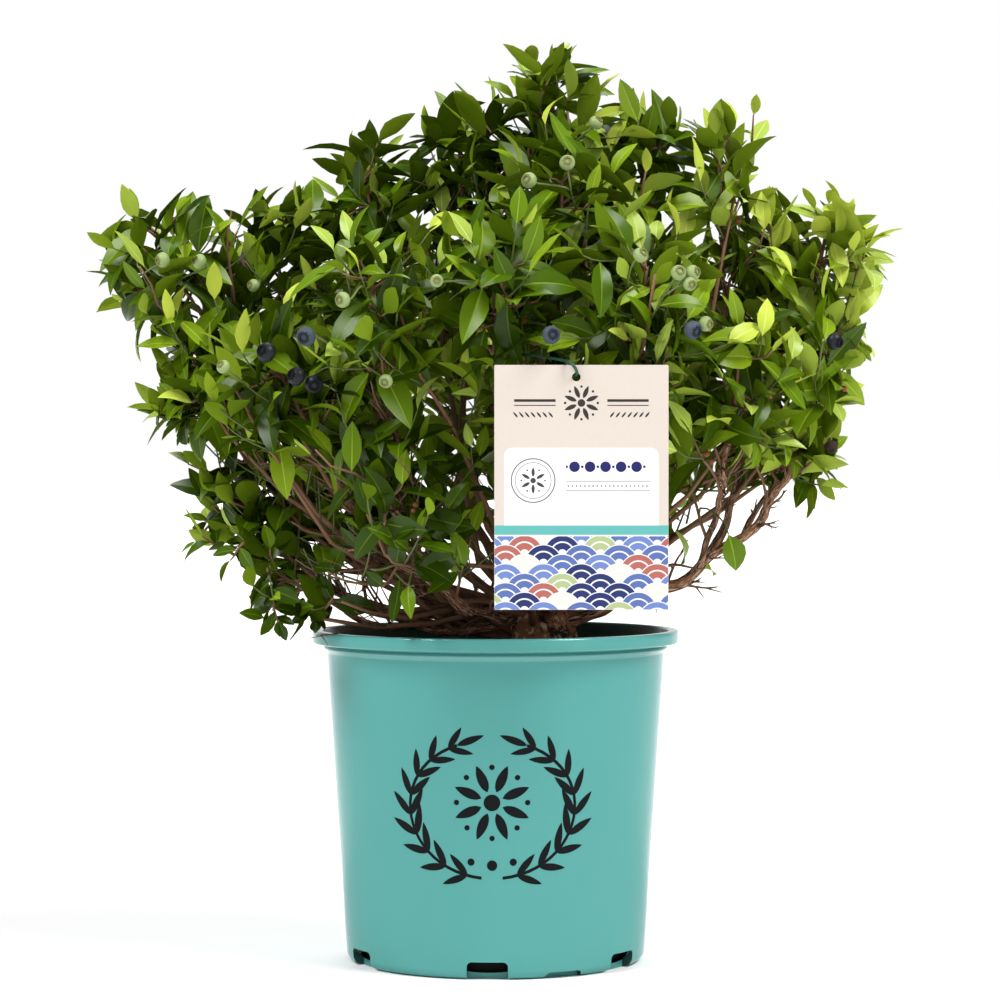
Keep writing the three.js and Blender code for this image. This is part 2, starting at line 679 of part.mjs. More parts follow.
// The leaning trunk is cut off level just above the soil
const ground = new THREE.BoxGeometry(2 * RIM_RADIUS, 2 * RIM_RADIUS, SOIL_LEVEL);
const underSoil = solidOf(ground.translate(0, 0, SOIL_LEVEL / 2 + GAP));
add('trunk', geometryOf(mainBody(trunkSolid().subtract(underSoil))), BARK_COLOUR, 0.85);

// Each bough is cut clear of the trunk, of the bough that it leaves and of those laid before it
const inOrder = [...MASSES].sort((a, b) => (a.from === 'trunk' ? 0 : 1) - (b.from === 'trunk' ? 0 : 1));
let clearance = trunkSolid(GAP);
for (const mass of inOrder) {
  const bough = boughOf(mass);
  add(`bough_${mass.name}`, geometryOf(mainBody(boughSolid(bough).subtract(clearance))), BARK_COLOUR, 0.85);
  clearance = clearance.add(boughSolid(bough, GAP));
}

const card = cardGeometry();
add('tag_card', card, CARD_COLOUR, 0.5);
const tie = tieGeometry(boughs.get(TIE_BOUGH));
add('tag_tie', tie, TIE_COLOUR, 0.5);

const stems = MASSES.map((mass, i) => stemOf(spaces[i], boughs.get(mass.name)));
const stemSolids = MASSES.map((mass, i) => {
  return limb(stems[i], tapered(STEM_RADIUS, STEM_TIP_RADIUS), TWIG_SIDES, STEM_STEPS);
});

const fixed = wasm.Manifold.union([clearance, solidOf(card), solidOf(tie)]);
MASSES.forEach((mass, i) => {
  const others = stemSolids.filter((solid) => solid !== stemSolids[i]);
  const obstacles = wasm.Manifold.union([fixed, ...others]);
  const solid = massSolid(mass, spaces[i], stems[i], stemSolids[i], dice(SEED + SEED_STEP * i), obstacles);
  add(`leaves_${mass.name}`, geometryOf(solid), LEAF_COLOUR, 0.5);
});

export default group;
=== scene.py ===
"""A blueberry bush in a nursery pot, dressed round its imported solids.

Metres, +Z up, -Y to the front. The origin is the centre of the pot's flat underside.
The plant's own rule works in millimetres, as the part's source does.
"""

import json
import math
from collections import namedtuple

import bmesh
import bpy
import numpy as np
from mathutils import Matrix, Vector, noise

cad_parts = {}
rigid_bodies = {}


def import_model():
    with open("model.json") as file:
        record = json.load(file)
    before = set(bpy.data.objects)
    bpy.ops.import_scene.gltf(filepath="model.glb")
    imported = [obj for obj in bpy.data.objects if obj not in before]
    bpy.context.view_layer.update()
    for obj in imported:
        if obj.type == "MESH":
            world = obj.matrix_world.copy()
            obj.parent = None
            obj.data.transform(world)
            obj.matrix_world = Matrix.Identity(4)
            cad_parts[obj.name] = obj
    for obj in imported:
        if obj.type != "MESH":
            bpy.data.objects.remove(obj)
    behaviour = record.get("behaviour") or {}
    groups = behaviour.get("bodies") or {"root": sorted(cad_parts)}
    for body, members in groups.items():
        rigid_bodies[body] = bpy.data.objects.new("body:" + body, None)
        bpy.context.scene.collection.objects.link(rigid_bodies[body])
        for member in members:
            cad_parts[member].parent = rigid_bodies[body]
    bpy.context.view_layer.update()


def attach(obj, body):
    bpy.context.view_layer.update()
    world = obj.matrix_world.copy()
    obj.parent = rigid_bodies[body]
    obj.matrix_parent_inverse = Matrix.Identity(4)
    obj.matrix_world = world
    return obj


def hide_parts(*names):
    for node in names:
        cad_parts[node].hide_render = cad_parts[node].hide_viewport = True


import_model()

MM = 0.001
TURN = 2 * math.pi
GOLDEN = math.pi * (3 - math.sqrt(5))
UP = Vector((0, 0, 1))
ACROSS = Vector((1, 0, 0))

# ---------- The plant's named sizes, in millimetres ----------

POT_HEIGHT = 207
RIM_RADIUS = 115
RIM_BAND = 8
MOUTH_RADIUS = 108.8
BEAD_RADIUS = 108
NECK_RADIUS = 106.7
WALL_TOP_RADIUS = 106
WALL_TOP = 193
WALL_FOOT_RADIUS = 93.5
FOOT_ROUND = 6.5
WALL = 2
FLOOR = 3
LIP = 3  # how far down inside the pot the outer colour reaches
POT_SIDES = 128
NOTCH_COUNT, NOTCH_WIDTH, NOTCH_HEIGHT, NOTCH_DEPTH, NOTCH_ROUND, NOTCH_TURN = 6, 25, 11, 8, 3, -3
ARCH_COUNT, ARCH_HEIGHT, ARCH_ROUND, ARCH_TURN = 3, 4, 3.6, 27
SOIL_LEVEL = 178
SOIL_FOOT_RADIUS = 82
SOIL_SHOULDER = 17

TRUNK_FOOT = Vector((31, 4, 172))
TRUNK_HEAD = Vector((26, 2, 221))
TRUNK_RADIUS = 24
TRUNK_FLARE = 12
TRUNK_TAPER = 4

CARD_WIDTH, CARD_HEIGHT, CARD_THICKNESS, CARD_ROUND = 101, 142, 1, 0.7
CARD_CENTRE = Vector((50, -166, 298))
CARD_CLEARANCE = 6
HOLE_RADIUS, HOLE_DROP, HOLE_ASIDE = 2.5, 7, -3
TIE_RADIUS, TIE_TURN, TIE_SPREAD, TIE_TILT = 0.9, 4.9, 2.5, 38
TIE_BOUGH, TIE_BOUGH_SHARE = "front_mid", 0.93

GAP = 0.3
CROWN_HEART = Vector((0, 0, 330))
POT_CLEARANCE = 3
BELOW_RIM = 30
BACKWARD = 0.55
SEED, SEED_STEP = 101, 37

BOUGH_INTO_SPACE = 0.62
BOUGH_BELLY = 0.42
BOUGH_END = 0.3
BOUGH_CLIMB = 0.55
BOUGH_TAPER = 0.42
BOUGH_TIP_RADIUS = 1.7

# What the rule is carried on to here
GOALS = 14  # directions tried in each mass
SHORTEST = 0.62  # of the way to a mass's edge, for a shoot that stays behind the others
SIDE_SPACING = 27  # between the side twigs of a shoot
SPUR_SPACING = 28  # between the twigs along a bough
LEAF_SPACING = 11.5  # along a twig
LEAF_LENGTH = 42
LEAF_SHINGLE = 0.25  # how far leaves lie along the crown's surface instead of standing out
LEAF_RISE = 0.06  # how far leaves bend upwards
# Below the higher of these heights, a leaf's tone also gets painted shade
SHADE_LOW, SHADE_HIGH = 215, 345  # heights between which leaves get more and larger
SHADE_SIZE, SHADE_SHARE = 0.64, 0.5  # of the size and number higher up
LOW_BROADNESS = 1.3  # how much broader the leaves at the crown's foot are
CROWN_MARGIN = 1.03  # of the masses' half extents, that leaf tips may reach
BRIDGE = 1.25  # of the half extents, where neighbours close the crease between them
BRIDGE_PULL = 0.3  # that the neighbours need together
FREE_BELOW, FREE_BEYOND = 4, 2  # past the masses' boxes, for shoots that stand out of the crown
WHIPS = 34  # thin stems that rise from the trunk among the boughs
LOW_WHIPS = 27  # more of them that run out low over the rim
# The masses that the low ones run to, in turn
LOW_MASSES = (
    "left_skirt", "left_low", "front_low", "left_skirt",
    "back_low_left", "left_long", "left_skirt", "left_side",
)
CROOK_SPACING = 30  # along a limb, between its bends
BOUGH_CROOK, WHIP_CROOK, TWIG_CROOK = 8, 8, 4
SIDE_LIMB_SHARE = 0.85  # of the girth, for the bark of a bough that leaves another bough
BARK_SHARE = 0.66  # of a bough's girth, that its bark with its ridges stands at
STUB_SPACING = 11  # between the dead stubs along the bare part of a bough
BARE_REACH = 125  # from the middle of the pot, within which dead stubs are long
# Where the crown is thin enough to show its boughs: middle, half extents, share of leaves that stay
OPEN_SPOTS = [((-88, -75, 252), (46, 75, 40), 0.42)]

# Name, centre, half extents, limb it leaves, share of that limb, rise, girth; belly and climb if its own
MASS_ROWS = [
    ("left_tip", (-206, -10, 438), (54, 65, 54), "left_long", 0.62, 0.35, 3.2),
    ("left_shoulder", (-138, 25, 436), (50, 63, 56), "left_side", 0.6, 0.8, 3.4),
    ("left_long", (-180, -15, 361), (54, 73, 53), "trunk", 0.5, 0.3, 6.2),
    ("left_low", (-156, 8, 283), (55, 69, 47), "left_skirt", 0.55, 0.5, 3.4),
    ("left_skirt", (-122, -45, 237), (64, 65, 43), "trunk", 0.75, 0.06, 5.2),
    ("left_side", (-128, -85, 362), (61, 59, 59), "trunk", 0.7, 0.15, 6.4),
    ("upper_left", (-78, 0, 471), (52, 66, 55), "upper_mid", 0.5, 0.6, 3.6),
    ("upper_mid", (-22, 20, 497), (52, 66, 57), "trunk", 0.9, 0.8, 5.4),
    ("peak", (36, 0, 525), (49, 61, 62), "trunk", 1, 0.95, 5.4),
    ("upper_right", (94, 14, 497), (47, 64, 55), "peak", 0.45, 0.7, 3.6),
    ("right_crest", (140, -10, 488), (37, 60, 56), "right_rise", 0.62, 0.8, 3.2),
    ("right_tip", (205, 5, 440), (50, 63, 53), "right_rise", 0.6, 0.5, 3),
    ("right_rise", (158, 30, 412), (55, 64, 53), "right_side", 0.38, 0.75, 4.6),
    ("right_side", (202, -25, 375), (40, 61, 51), "trunk", 0.75, 0.2, 6.4, 0.64, 3),
    ("right_long", (183, 0, 328), (44, 58, 37), "right_side", 0.5, 0.9, 2.8),
    ("front_mid", (4, -130, 412), (68, 61, 66), "front_crest", 0.45, 0.3, 4),
    ("front_left", (-72, -115, 405), (61, 61, 64), "front_low", 0.5, 0.5, 4),
    ("front_right", (88, -110, 410), (64, 61, 64), "trunk", 0.75, 0.5, 5.2),
    ("front_low", (-62, -105, 284), (64, 64, 70), "trunk", 0.65, 0.28, 5),
    ("front_crest", (40, -72, 466), (64, 55, 59), "trunk", 0.95, 0.8, 5.2),
    ("front_far", (146, -80, 360), (57, 59, 64), "right_side", 0.3, 0.7, 3.6),
    ("tag_back", (58, -85, 318), (64, 61, 57), "trunk", 0.6, 0.35, 4.4),
    ("back_left", (-110, 115, 392), (70, 64, 68), "back_low_left", 0.5, 0.5, 4),
    ("back_mid", (-8, 140, 420), (70, 61, 74), "trunk", 0.85, 0.5, 5.4),
    ("back_right", (98, 115, 408), (70, 64, 68), "back_low_right", 0.5, 0.5, 4),
    ("back_low_left", (-84, 115, 296), (66, 64, 59), "trunk", 0.65, 0.25, 5.2),
    ("back_low_right", (92, 110, 300), (66, 64, 59), "trunk", 0.65, 0.25, 5.2),
]


class Mass:
    """One mass of leaves: its space and how its bough reaches it."""

    def __init__(self, name, at, size, parent, where, rise, girth, belly=BOUGH_BELLY, climb=BOUGH_CLIMB):
        self.name, self.at, self.size = name, Vector(at), Vector(size)
        self.parent, self.where, self.rise, self.girth = parent, where, rise, girth
        self.belly, self.climb = belly, climb


MASSES = {row[0]: Mass(*row) for row in MASS_ROWS}
CENTRES = np.array([row[1] for row in MASS_ROWS], float)
EXTENTS = np.array([row[2] for row in MASS_ROWS], float)
WEIGHTS = EXTENTS.mean(axis=1) ** 2
# The crown's inside, which counts as crown between the masses too
HEART_CENTRE = np.array((0, 10, 345))
HEART_EXTENT = np.array((150, 110, 130))

# Shoots that stand out of the crown: where the last leaf ends, how many leaves, and their vigour
WAYWARD = [
    ((-243, -25, 480), 4, 1.0), ((-164, -10, 481), 3, 1.1), ((-139, -5, 487), 5, 1.0),
    ((-250, -15, 418), 4, 0.9), ((-224, -30, 336), 3, 0.8), ((-206, 0, 278), 4, 0.9),
    ((-202, 10, 250), 3, 0.7), ((-175, -40, 238), 4, 0.7), ((-152, -50, 218), 6, 0.65),
    ((-128, -70, 197), 7, 0.65), ((-110, -60, 198), 6, 0.65), ((-66, -10, 538), 5, 1.0),
    ((-119, -40, 205), 6, 0.65), ((-138, -35, 222), 6, 0.7), ((-153, -20, 234), 6, 0.75),
    ((-172, -10, 254), 5, 0.8), ((-13, 0, 547), 6, 1.1), ((14, 0, 573), 5, 0.9),
    ((45, 5, 577), 6, 0.9), ((95, -15, 538), 4, 1.1), ((163, 0, 546), 3, 0.6),
    ((172, -20, 490), 4, 1.1), ((244, -10, 473), 4, 1.3), ((242, -25, 443), 4, 1.1),
    ((238, -10, 417), 3, 1.0), ((236, -30, 378), 4, 0.6), ((224, -10, 292), 5, 0.8),
    ((212, 10, 283), 4, 0.8), ((150, -50, 246), 2, 1.0), ((196, -30, 300), 3, 0.7),
    ((-48, -95, 262), 4, 1.0), ((-20, -100, 240), 3, 0.8),
]

# Berries as seen from the front, at the middle of the crown: across and height, by kind
BERRIES = {
    "ripe": [(-144, 381), (-125, 366), (-114, 361), (213, 388)],
    "bloomed": [(-119, 391), (35, 392), (124, 395)],
    "green": [
        (-37, 426), (45, 500), (21, 489), (63, 525), (115, 431), (124, 431), (122, 424), (132, 399),
        (-69, 363), (-171, 372), (-152, 423), (-209, 439), (-186, 438), (91, 442), (-96, 414),
    ],
}
BERRY_RADIUS = 5.6
BERRIES_BEHIND = 16
SPENT_FLOWERS = 46  # what the blossom has left behind where no berry has set

# ---------- Seeded numbers and curves ----------


WORD = 0xFFFFFFFF  # the 32 bits that the generator works in


class Dice:
    """mulberry32: numbers between two limits, the same on every run."""

    def __init__(self, seed):
        self.state = seed & WORD

    def __call__(self, low=0.0, high=1.0):
        self.state = (self.state + 0x6D2B79F5) & WORD
        t = self.state
        t = ((t ^ (t >> 15)) * (t | 1)) & WORD
        t ^= (t + (((t ^ (t >> 7)) * (t | 61)) & WORD)) & WORD
        return low + (high - low) * (((t ^ (t >> 14)) & WORD) / (WORD + 1))


def lerp(a, b, t):
    return a + (b - a) * t


STEEP = 0.4  # run over rise, below which a chord is too upright to take the level from
STRAY_GROWTH = 5  # how fast a limb's straying grows from its two ends
ELSEWHERE = Vector((9, 5, 3))  # a step to another part of the noise


class Sweep:
    """A cubic curve, with its point, direction and level frame at a share of its length."""

    def __init__(self, a, b, c, d):
        self.a, self.b, self.c, self.d = a.copy(), b.copy(), c.copy(), d.copy()
        chord = d - a
        steep = math.hypot(chord.x, chord.y) < STEEP * abs(chord.z)
        self.level = chord.cross(ACROSS if steep else UP).normalized()
        self.upright = self.level.cross(chord).normalized()
        self.crook, self.seed = 0, 0

    def crooked(self, crook, seed):
        """The same curve, straying from itself by up to about this much between its ends."""
        self.crook, self.seed = crook, seed
        return self

    def point(self, t):
        s = 1 - t
        place = self.a * s**3 + self.b * (3 * s * s * t) + self.c * (3 * s * t * t) + self.d * t**3
        if self.crook:
            spot = Vector((t * (self.d - self.a).length / CROOK_SPACING, self.seed, 0))
            stray = min(1, STRAY_GROWTH * t, STRAY_GROWTH * s) * self.crook
            place += self.level * (noise.noise(spot) * stray)
            place += self.upright * (noise.noise(spot + ELSEWHERE) * stray)
        return place

    def direction(self, t):
        s = 1 - t
        first, middle, last = self.b - self.a, self.c - self.b, self.d - self.c
        return (first * (s * s) + middle * (2 * s * t) + last * (t * t)).normalized()

    def frame(self, t):
        along = self.direction(t)
        x = (self.level - along * self.level.dot(along)).normalized()
        return along, x, x.cross(along)

    def length(self, steps=8):
        points = [self.point(i / steps) for i in range(steps + 1)]
        return sum((q - p).length for p, q in zip(points, points[1:]))


def straight(a, b):
    return Sweep(a, a.lerp(b, 1 / 3), a.lerp(b, 2 / 3), b)


DEPART, ARRIVE = 0.35, 0.3  # of a twig's length, that it keeps to its way at either end


def bent(start, depart, arrive, end):
    """A twig between two points that leaves and arrives in given directions."""
    reach = (end - start).length
    return Sweep(start, start + depart * DEPART * reach, end - arrive * ARRIVE * reach, end)


TRUNK = straight(TRUNK_FOOT, TRUNK_HEAD)


def times(a, b):
    """Two vectors multiplied axis by axis."""
    return Vector((a.x * b.x, a.y * b.y, a.z * b.z))


# ---------- Boughs ----------

ENTRY_BACK, ENTRY_BELOW = 0.8, 0.5  # a bough enters its mass from its foot's side and from below
PARENT_WAY = 0.8  # how far a side limb first keeps to its parent's way
CROOK_SEED, CROOK_STEP = 1.7, 7.3
boughs = {}


def bough_of(mass):
    """The curve of a mass's bough, after that of the limb that it leaves."""
    if mass.name in boughs:
        return boughs[mass.name]
    parent = MASSES.get(mass.parent)
    along = bough_of(parent) if parent else TRUNK
    foot = along.point(mass.where)
    away = mass.at - foot
    out = Vector((away.x, away.y, 0)).normalized()
    away.normalize()
    inward = (away * ENTRY_BACK + UP * ENTRY_BELOW).normalized()
    tip = mass.at - times(inward, mass.size) * BOUGH_INTO_SPACE
    reach = (tip - foot).length
    depart = (out * (1 - mass.rise) + UP * mass.rise).normalized()
    if parent:
        depart = (depart + along.direction(mass.where) * PARENT_WAY).normalized()
    arrive = (away + UP * mass.climb).normalized()
    curve = Sweep(foot, foot + depart * reach * mass.belly, tip - arrive * BOUGH_END * reach, tip)
    boughs[mass.name] = curve.crooked(BOUGH_CROOK, CROOK_STEP * len(boughs) + CROOK_SEED)
    return curve


def tip_radius(mass):
    """The radius that a mass's bough tapers to, where its stem goes on."""
    return max(BOUGH_TIP_RADIUS, BOUGH_TAPER * mass.girth * BARK_SHARE)


# ---------- Spaces of the masses ----------


def clear_of_pot(p):
    over = math.hypot(p.x, p.y) < RIM_RADIUS + POT_CLEARANCE
    return p.z > (POT_HEIGHT + POT_CLEARANCE if over else POT_HEIGHT - BELOW_RIM)


def clear_of_card(p):
    beside = abs(p.x - CARD_CENTRE.x) - CARD_WIDTH / 2 > CARD_CLEARANCE
    beyond = abs(p.z - CARD_CENTRE.z) - CARD_HEIGHT / 2 > CARD_CLEARANCE
    return beside or beyond or p.y > CARD_CENTRE.y + CARD_CLEARANCE


def in_crown(points):
    """Whether all the points lie in the masses' joined space, clear of pot and card."""
    if not all(clear_of_pot(p) and clear_of_card(p) for p in points):
        return False
    apart = (np.array(points, float)[:, None, :] - CENTRES) / EXTENTS
    apart = (apart**2).sum(axis=2)
    pull = np.clip(1 - apart / BRIDGE**2, 0, 1) ** 2
    inside = (apart < CROWN_MARGIN**2).any(axis=1) | (pull.sum(axis=1) > BRIDGE_PULL)
    heart = ((np.array(points, float) - HEART_CENTRE) / HEART_EXTENT) ** 2
    return bool((inside | (heart.sum(axis=1) < 1)).all())


def in_reach(points):
    """Whether all the points lie within the crown's furthest reach, clear of pot and card."""
    low = (CENTRES - EXTENTS).min(axis=0) - FREE_BELOW
    high = (CENTRES + EXTENTS).max(axis=0) + FREE_BEYOND
    within = all((np.array(p) > low).all() and (np.array(p) < high).all() for p in points)
    return within and all(clear_of_pot(p) and clear_of_card(p) for p in points)


def in_cell(index, p, margin):
    """Whether a point lies in one mass's own space."""
    if (((np.array(p) - CENTRES[index]) / EXTENTS[index]) ** 2).sum() >= 1:
        return False
    powers = ((np.array(p) - CENTRES) ** 2).sum(axis=1) - WEIGHTS
    apart = np.linalg.norm(CENTRES - CENTRES[index], axis=1)
    apart[index] = 1
    depth = (powers - powers[index]) / (2 * apart)
    depth[index] = margin + 1
    return depth.min() > margin and clear_of_pot(p) and clear_of_card(p)


# ---------- Growth ----------

# How each kind of twig grows: radii at foot and tip, leafless share at its foot, lift at its end
Habit = namedtuple("Habit", "foot tip bare lift")
SHOOT, SIDE = Habit(1.15, 0.6, 0.35, 0.45), Habit(0.75, 0.45, 0.18, 0.6)
SPUR, STRAY = Habit(1.2, 0.55, 0.45, 0.5), Habit(1.1, 0.5, 0.25, 0.2)
SMALLER = 0.95  # the leaves of side twigs and spurs, of those on shoots

STEM_LIFT = 0.4
STEM_REACH = 0.3  # of the half extents, past a mass's middle
STEM_GIRTH, STEM_TIP = 0.95, 1.1  # the first is a share of its bough's tip
GOAL_MOST, GOAL_LEAST, GOAL_STEP = 0.97, 0.35, 0.06  # of the half extents, tried for a goal
GOAL_MARGIN = 1.5  # from a goal to the next mass
TO_THE_EDGE = 3  # one shoot in so many reaches its mass's edge
SHOOTS_FROM, SHOOTS_TO = 0.1, 0.97  # along a stem

# A leaf's upper face follows its twig, the way out of the crown, the sky and chance, each so far
FACE_ALONG, FACE_OUT, FACE_UP, FACE_CHANCE = 0.3, 0.34, 0.68, 0.85
FACE_LEAST = 0.2
# Degrees between a leaf and its twig: at the tip, along the twig, and how much less towards the tip
TIP_OPENING, OPENING, OPENING_LESS = (4, 24), (50, 88), 26
LEAVES_TO, LAST_LEAF = 0.96, 0.98  # along a twig
SIZES, WIDTHS = (0.72, 1.2), (0.88, 1.14)
YOUNG_LESS = 0.3  # of its length, that a twig's last leaf lacks
POSES_TRIED, POSE_SHRINK = 5, 0.06  # ways that a leaf is turned round its twig until it finds room
HALF_WIDTH = 0.2  # of its length, that a leaf needs at either side

# A leaf's tone: what it starts from, what age adds, the painted light that height and the sides add, and the
# painted shade that depth in the crown and the low shade take
TONE, TONE_AGE, TONE_HEIGHT_LIGHT, TONE_DEPTH_SHADE, TONE_ASIDE_LIGHT, TONE_SHADE = 0.25, 0.34, 0.2, 0.4, 0.28, 0.2
TONE_OF_SPRAY, TONE_OF_LEAF = 0.24, 0.1  # how far chance moves a spray's and a leaf's own
# How far the painted light reaches: heights from the crown's foot over its rise, out to its sides, and more
# towards the right
TONE_FOOT, TONE_RISE, TONE_SIDE, TONE_RIGHT = 230, 350, 190, 400


class Plant:
    """All that has grown, in millimetres."""

    def __init__(self):
        self.twigs = []  # curve, radii at foot and tip, whether it is green
        self.leaves = []  # base, way, face, length, tone, width
        self.dead = []  # curve and foot radius of each dead stub


plant = Plant()


def stem_of(mass, bough):
    """A mass's stem, which goes on from its bough's tip."""
    onward = bough.direction(1)
    entry = bough.point(1) + onward * GAP
    inward = ((mass.at - entry).normalized() + UP * STEM_LIFT).normalized()
    heart = mass.at + times(inward, mass.size) * STEM_REACH
    arrive = ((heart - entry).normalized() + UP * STEM_LIFT).normalized()
    return bent(entry, onward, arrive, heart)


def spread(k, count, spin):
    """Directions spread evenly over a sphere."""
    z = 1 - (2 * k + 1) / count
    level = math.sqrt(1 - z * z)
    return Vector((level * math.cos(k * GOLDEN + spin), level * math.sin(k * GOLDEN + spin), z))


def furthest(index, mass, direction):
    """The furthest point of a mass's space in a direction."""
    share = GOAL_MOST
    while share > GOAL_LEAST:
        p = times(direction, mass.size) * share + mass.at
        if in_cell(index, p, GOAL_MARGIN):
            return p
        share -= GOAL_STEP
    return None


def round_twig(twig, share, turn):
    """A twig's direction at a share of its length, and the way out from it at a turn."""
    along, x, z = twig.frame(share)
    return along, x * math.sin(turn) + z * math.cos(turn)


def leaf_pose(twig, share, turn, opening, lean):
    """Where a leaf leaves its twig, the way it points and the way its upper face looks."""
    along, outward = round_twig(twig, share, turn)
    way = along * math.cos(opening) + outward * math.sin(opening)
    base = twig.point(share)
    radial = (base - CROWN_HEART).normalized()
    way = (way - radial * max(0, way.dot(radial)) * LEAF_SHINGLE + UP * LEAF_RISE).normalized()
    face = along * FACE_ALONG + radial * FACE_OUT + UP * FACE_UP + lean * FACE_CHANCE
    face = face - way * face.dot(way)
    if face.length < FACE_LEAST:
        x = twig.frame(share)[1]
        face = x - way * x.dot(way)
    return base, way, face.normalized()


def leafy(twig, roll, count, bare, vigour, free=False):
    """Leaves set round a twig by the golden angle, younger and smaller towards its tip."""
    spin = roll(0, TURN)
    shade = roll(-TONE_OF_SPRAY, TONE_OF_SPRAY)
    for j in range(count):
        last = j == count - 1
        share = LAST_LEAF if last else lerp(bare, LEAVES_TO, (j + 0.4) / count)
        opening = math.radians(roll(*TIP_OPENING) if last else roll(*OPENING) - OPENING_LESS * j / count)
        lean = Vector((roll(-1, 1), roll(-1, 1), roll(-0.6, 0.6)))
        youth = j / max(1, count - 1)
        size = LEAF_LENGTH * vigour * roll(*SIZES) * (1 - YOUNG_LESS * youth**2)
        light = min(1, max(0, (twig.point(share).z - SHADE_LOW) / (SHADE_HIGH - SHADE_LOW)))
        size *= lerp(SHADE_SIZE, 1, light)
        if roll() > lerp(SHADE_SHARE, 1, light) and not free:
            continue
        width = roll(*WIDTHS) * lerp(LOW_BROADNESS, 1, light)
        for attempt in range(POSES_TRIED):
            turn = spin + j * GOLDEN + attempt * TURN / POSES_TRIED
            length = size * (1 - POSE_SHRINK * attempt)
            base, way, face = leaf_pose(twig, share, turn, opening, lean)
            side = face.cross(way) * (HALF_WIDTH * length)
            middle = base + way * (0.5 * length)
            places = [base + way * length, middle + side, middle - side]
            if in_reach(places) if free else in_crown(places):
                tone = tone_of(base, youth, shade + roll(-TONE_OF_LEAF, TONE_OF_LEAF))
                plant.leaves.append((base, way, face, length, tone, width))
                break


def tone_of(base, youth, chance):
    """A leaf's tone, from 0, dark, to 1, pale: by its age and chance, with painted light high up, at the
    sides and to the right, and painted shade deep in the crown and low down.
    """
    apart = (np.array(base) - CENTRES) / EXTENTS
    # depth in the crown and the low shade give painted shade; height, the sides and the right give painted
    # light
    depth = 1 - math.sqrt((apart**2).sum(axis=1).min())
    height = (base.z - TONE_FOOT) / TONE_RISE
    aside = min(1, abs(base.x) / TONE_SIDE) + base.x / TONE_RIGHT
    shade = max(0, (SHADE_HIGH - base.z) / (SHADE_HIGH - SHADE_LOW))
    tone = TONE + TONE_AGE * youth**3 + TONE_HEIGHT_LIGHT * height - TONE_DEPTH_SHADE * depth
    return tone + TONE_ASIDE_LIGHT * aside - TONE_SHADE * shade + chance


def add_twig(curve, habit, green=False):
    plant.twigs.append((curve, habit.foot, habit.tip, green))
    return curve


def grow_mass(index, mass):
    """A mass's stem, with shoots from it to goals all over the mass's own space."""
    roll = Dice(SEED + SEED_STEP * index)
    bough = bough_of(mass)
    stem = stem_of(mass, bough)
    entry = stem.point(0)
    back = (entry - mass.at).normalized()
    line = (stem.point(1) - entry).normalized()
    spin = roll(0, TURN)
    goals = []
    for k in range(GOALS):
        direction = spread(k, GOALS, spin)
        goal = furthest(index, mass, direction) if direction.dot(back) < BACKWARD else None
        if goal:
            goals.append(mass.at.lerp(goal, 1 if k % TO_THE_EDGE == 0 else roll(SHORTEST, 1)))
    goals.sort(key=lambda p: p.dot(line))
    plant.twigs.append((stem, tip_radius(mass) * STEM_GIRTH, STEM_TIP, False))
    for k, goal in enumerate(goals):
        grow_shoot(stem, lerp(SHOOTS_FROM, SHOOTS_TO, k / (len(goals) - 1)), goal, roll)


SHOOT_ROOM = 22  # the least from a stem to a goal
LAST_LEAF_ROOM = 0.75  # of a leaf's length, kept free before the goal
STEM_WAY = 0.6  # how far a shoot first keeps to its stem's way
SIDES_FROM, SIDES_SPAN = 0.2, 0.66  # along a shoot


def grow_shoot(stem, share, goal, roll):
    """A shoot from a stem to a goal, with leaves and side twigs."""
    foot = stem.point(share)
    room = (goal - foot).length
    if room < SHOOT_ROOM:
        return
    way = (goal - foot).normalized()
    last_leaf = min(LAST_LEAF_ROOM * LEAF_LENGTH, 0.5 * room)
    end = goal - (way + UP * 0.15).normalized() * last_leaf
    reach = (end - foot).length
    depart = (way + stem.direction(share) * STEM_WAY).normalized()
    shoot = bent(foot, depart, (way + UP * SHOOT.lift).normalized(), end)
    add_twig(shoot.crooked(TWIG_CROOK, foot.x + foot.z), SHOOT)
    leafy(shoot, roll, max(4, round(0.7 * reach / LEAF_SPACING)), SHOOT.bare, 1)
    sides = round(reach / SIDE_SPACING)
    for j in range(sides):
        grow_side(shoot, SIDES_FROM + SIDES_SPAN * (j + 0.5) / sides, j * GOLDEN + roll(0, TURN), roll)


SIDE_REACH = (26, 52)
SIDE_SHRINKS = (1, 0.75, 0.5)  # tried in turn, where a side twig would leave the crown


def grow_side(shoot, share, turn, roll):
    """A green side twig with its leaves, where there is room for it."""
    along, outward = round_twig(shoot, share, turn)
    foot = shoot.point(share)
    way = (along * roll(0.7, 1) + outward + UP * 0.4).normalized()
    reach = roll(*SIDE_REACH)
    for shrink in SIDE_SHRINKS:
        length = reach * shrink
        end = foot + way * length + UP * 0.15 * length
        if in_crown([end + way * 0.5 * LEAF_LENGTH]):
            break
    else:
        return
    side = add_twig(bent(foot, way, (way + UP * SIDE.lift).normalized(), end), SIDE, green=True)
    leafy(side, roll, max(3, round(length / LEAF_SPACING)), SIDE.bare, SMALLER)


SPURS_FROM = 0.22  # along a bough
SPUR_ABOVE_RIM = 12
SPUR_REACH = (35, 85)
SPUR_LEAF_SPACING = 1.7  # of that on shoots
SPUR_SIDES = 2


